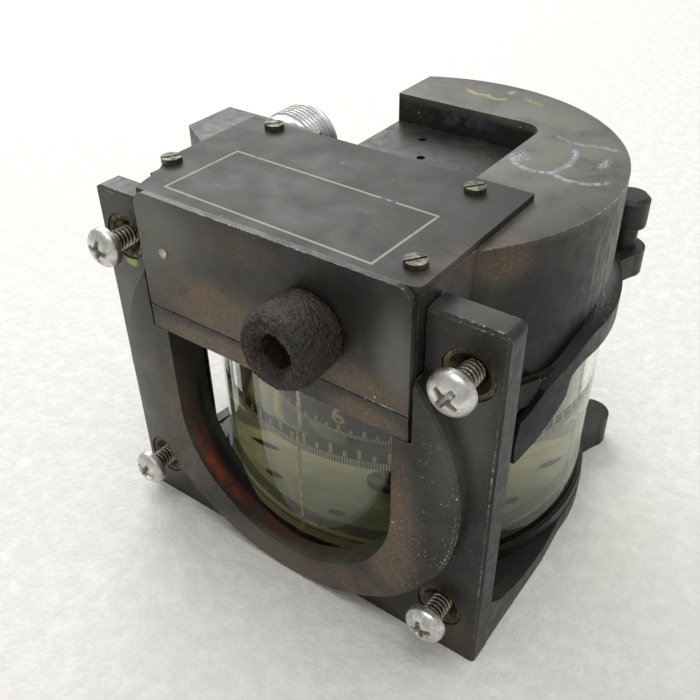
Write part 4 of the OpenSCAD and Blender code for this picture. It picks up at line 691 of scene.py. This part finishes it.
# Connector: a turned aluminium shell with a rolled coupling thread, near white and bright from handling.
# A dark phenolic insert, brown-black with a moulded swirl, holds the two bright yellow contacts.
shell_mat = old_metal("bright_turned_aluminium", "#f0f0ee", "#c4c5c6", 0.45, 6, 0.3)[0]
low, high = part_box("connector_shell")
shell_x, shell_z, shell_r = (low[0] + high[0]) / 2, (low[2] + high[2]) / 2, (high[0] - low[0]) / 2
y0, y1, mouth, pitch, groove = low[1], high[1], 7.8 * mm, 1.27 * mm, 0.62 * mm
thread_y0, thread_y1 = y0 + 4.5 * mm, y1 - 0.5 * mm
y = np.linspace(thread_y0, thread_y1, 190)[:, None]
angle = np.linspace(0, 2 * np.pi, 128, endpoint=False)[None]
wave = np.clip(np.abs((y / pitch - angle / (2 * np.pi)) % 1.0 * 2 - 1) * 1.3 - 0.15, 0, 1)
fade = np.clip(np.minimum(y - thread_y0, thread_y1 - y) / pitch, 0, 1)
thread = along_y(shell_r - 0.02 * mm - groove * (1 - wave * fade), angle + 0 * y, y, shell_x, shell_z)
root = np.array([(mouth, y0), (shell_r - 0.3 * mm, y0), (shell_r - 0.3 * mm, y0 + 3.9 * mm),
                 (shell_r - 0.64 * mm, y0 + 4.2 * mm)])
lip = np.array([(shell_r - 0.9 * mm, y1 - 0.1 * mm), (shell_r - 1.1 * mm, y1), (mouth + 0.2 * mm, y1),
                (mouth, y1 - 0.2 * mm), (mouth, y0)])
root, lip = (along_y(r + 0 * angle, angle + 0 * r, y + 0 * angle, shell_x, shell_z)
             for r, y in ((root[:, :1], root[:, 1:]), (lip[:, :1], lip[:, 1:])))
shell = skin("threaded_shell", np.concatenate([root, thread, lip]), shell_mat, "housing")
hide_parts("connector_shell")
dress(mottled("dark_moulded_phenolic", "#1c1512", "#33261e", 2, Roughness=0.4), "connector_insert")
dress(old_metal("bright_brass_contact", "#d0b878", "#9a7f44", 0.4, 1, 0.25)[0], "connector_pins")

# Lamp in the right-hand bay: a small bayonet bulb in its brass socket, with cotton-covered leads.
# The bulb's glass is clear and faintly yellow, and the cotton is matt, cream and brown by turns.
bulb_mat = mottled("clear_lamp_glass", "#fff6dc", "#e9dcb4", 4,
                   IOR=1.5, Transmission_Weight=0.9, Roughness=0.03)
dress(bulb_mat, "lamp_bulb")
cotton_mat = new_finish("cotton_covered_wire", Roughness=0.9)
weave = add(cotton_mat, "TexWave", {"Vector": place(cotton_mat), "Scale": 1 / 1.2, "Distortion": 1.0},
            out="Fac")
lay_on(cotton_mat, Base_Color=coat(cotton_mat, "#c9bd94", "#8d8058", weave),
       Normal=add(cotton_mat, "Bump", {"Height": weave, "Distance": 0.08 * mm, "Strength": 0.4}))
dress(cotton_mat, "lamp_leads")

# Stage: pale floor and room, two broad soft lamps and the camera of the photograph.
# The floor's paint is matt off-white, with shallow roller marks a few millimetres wide.
floor_mat = new_finish("pale_painted_floor", Roughness=0.8)
fleck = patches(floor_mat, place(floor_mat), 5, 0.3, 0.7, 5.0, 0.7)
lay_on(floor_mat, Base_Color=coat(floor_mat, "#e9e8e4", "#dedcd7", fleck),
       Normal=add(floor_mat, "Bump", {"Height": fleck, "Distance": 1.2 * mm, "Strength": 0.35}))
reach = 3.0
mesh = bpy.data.meshes.new("floor")
corners = [(-reach, -reach, 0), (reach, -reach, 0), (reach, reach, 0), (-reach, reach, 0)]
mesh.from_pydata(corners, [], [(0, 1, 2, 3)])
mesh.materials.append(floor_mat)
floor = bpy.data.objects.new("floor", mesh)
bpy.context.scene.collection.objects.link(floor)

world = bpy.data.worlds.new("pale_room")
bpy.context.scene.world = world
world.use_nodes = True
room = world.node_tree.nodes["Background"]
room.inputs["Color"].default_value = linear("#f4f4f2")
room.inputs["Strength"].default_value = 0.55


def soft_lamp(name, stands, aim, size, power):
    """Rectangular area lamp of a size in metres and a power in watts, turned so that it shines at aim."""
    light = bpy.data.lights.new(name, "AREA")
    light.shape, light.size, light.size_y, light.energy = "RECTANGLE", size[0], size[1], power
    item = bpy.data.objects.new(name, light)
    bpy.context.scene.collection.objects.link(item)
    item.location = stands
    item.visible_transmission = False
    item.rotation_mode = "QUATERNION"
    item.rotation_quaternion = (Vector(stands) - Vector(aim)).to_track_quat("Z", "Y")
    return item


# Places in metres: the window stands behind the compass at the left, and the ceiling is above it.
soft_lamp("window_light", (-0.75, 0.55, 0.75), (0, 0, 0.05), (0.9, 0.7), 9.0)
soft_lamp("ceiling_light", (0.1, -0.1, 1.1), (0, 0, 0.05), (0.8, 0.8), 6.0)

# The camera's lens, axes and place come from a fit to points of the compass seen in the photograph.
camera = bpy.data.cameras.new("photo_camera")
camera.sensor_width, camera.sensor_height, camera.lens = 36.0, 36.0, 43.9
camera.clip_start = 0.01
view = bpy.data.objects.new("photo_camera", camera)
bpy.context.scene.collection.objects.link(view)
right, down = (0.80966, 0.5867, -0.01501), (0.34036, -0.49024, -0.80238)
ahead = (-0.47812, 0.64455, -0.59662)
turned_to = Matrix((right, [-v for v in down], [-v for v in ahead])).transposed()
view.matrix_world = Matrix.Translation((0.0963, -0.1550, 0.1715)) @ turned_to.to_4x4()
bpy.context.scene.camera = view
bpy.context.scene.view_settings.view_transform = "Standard"
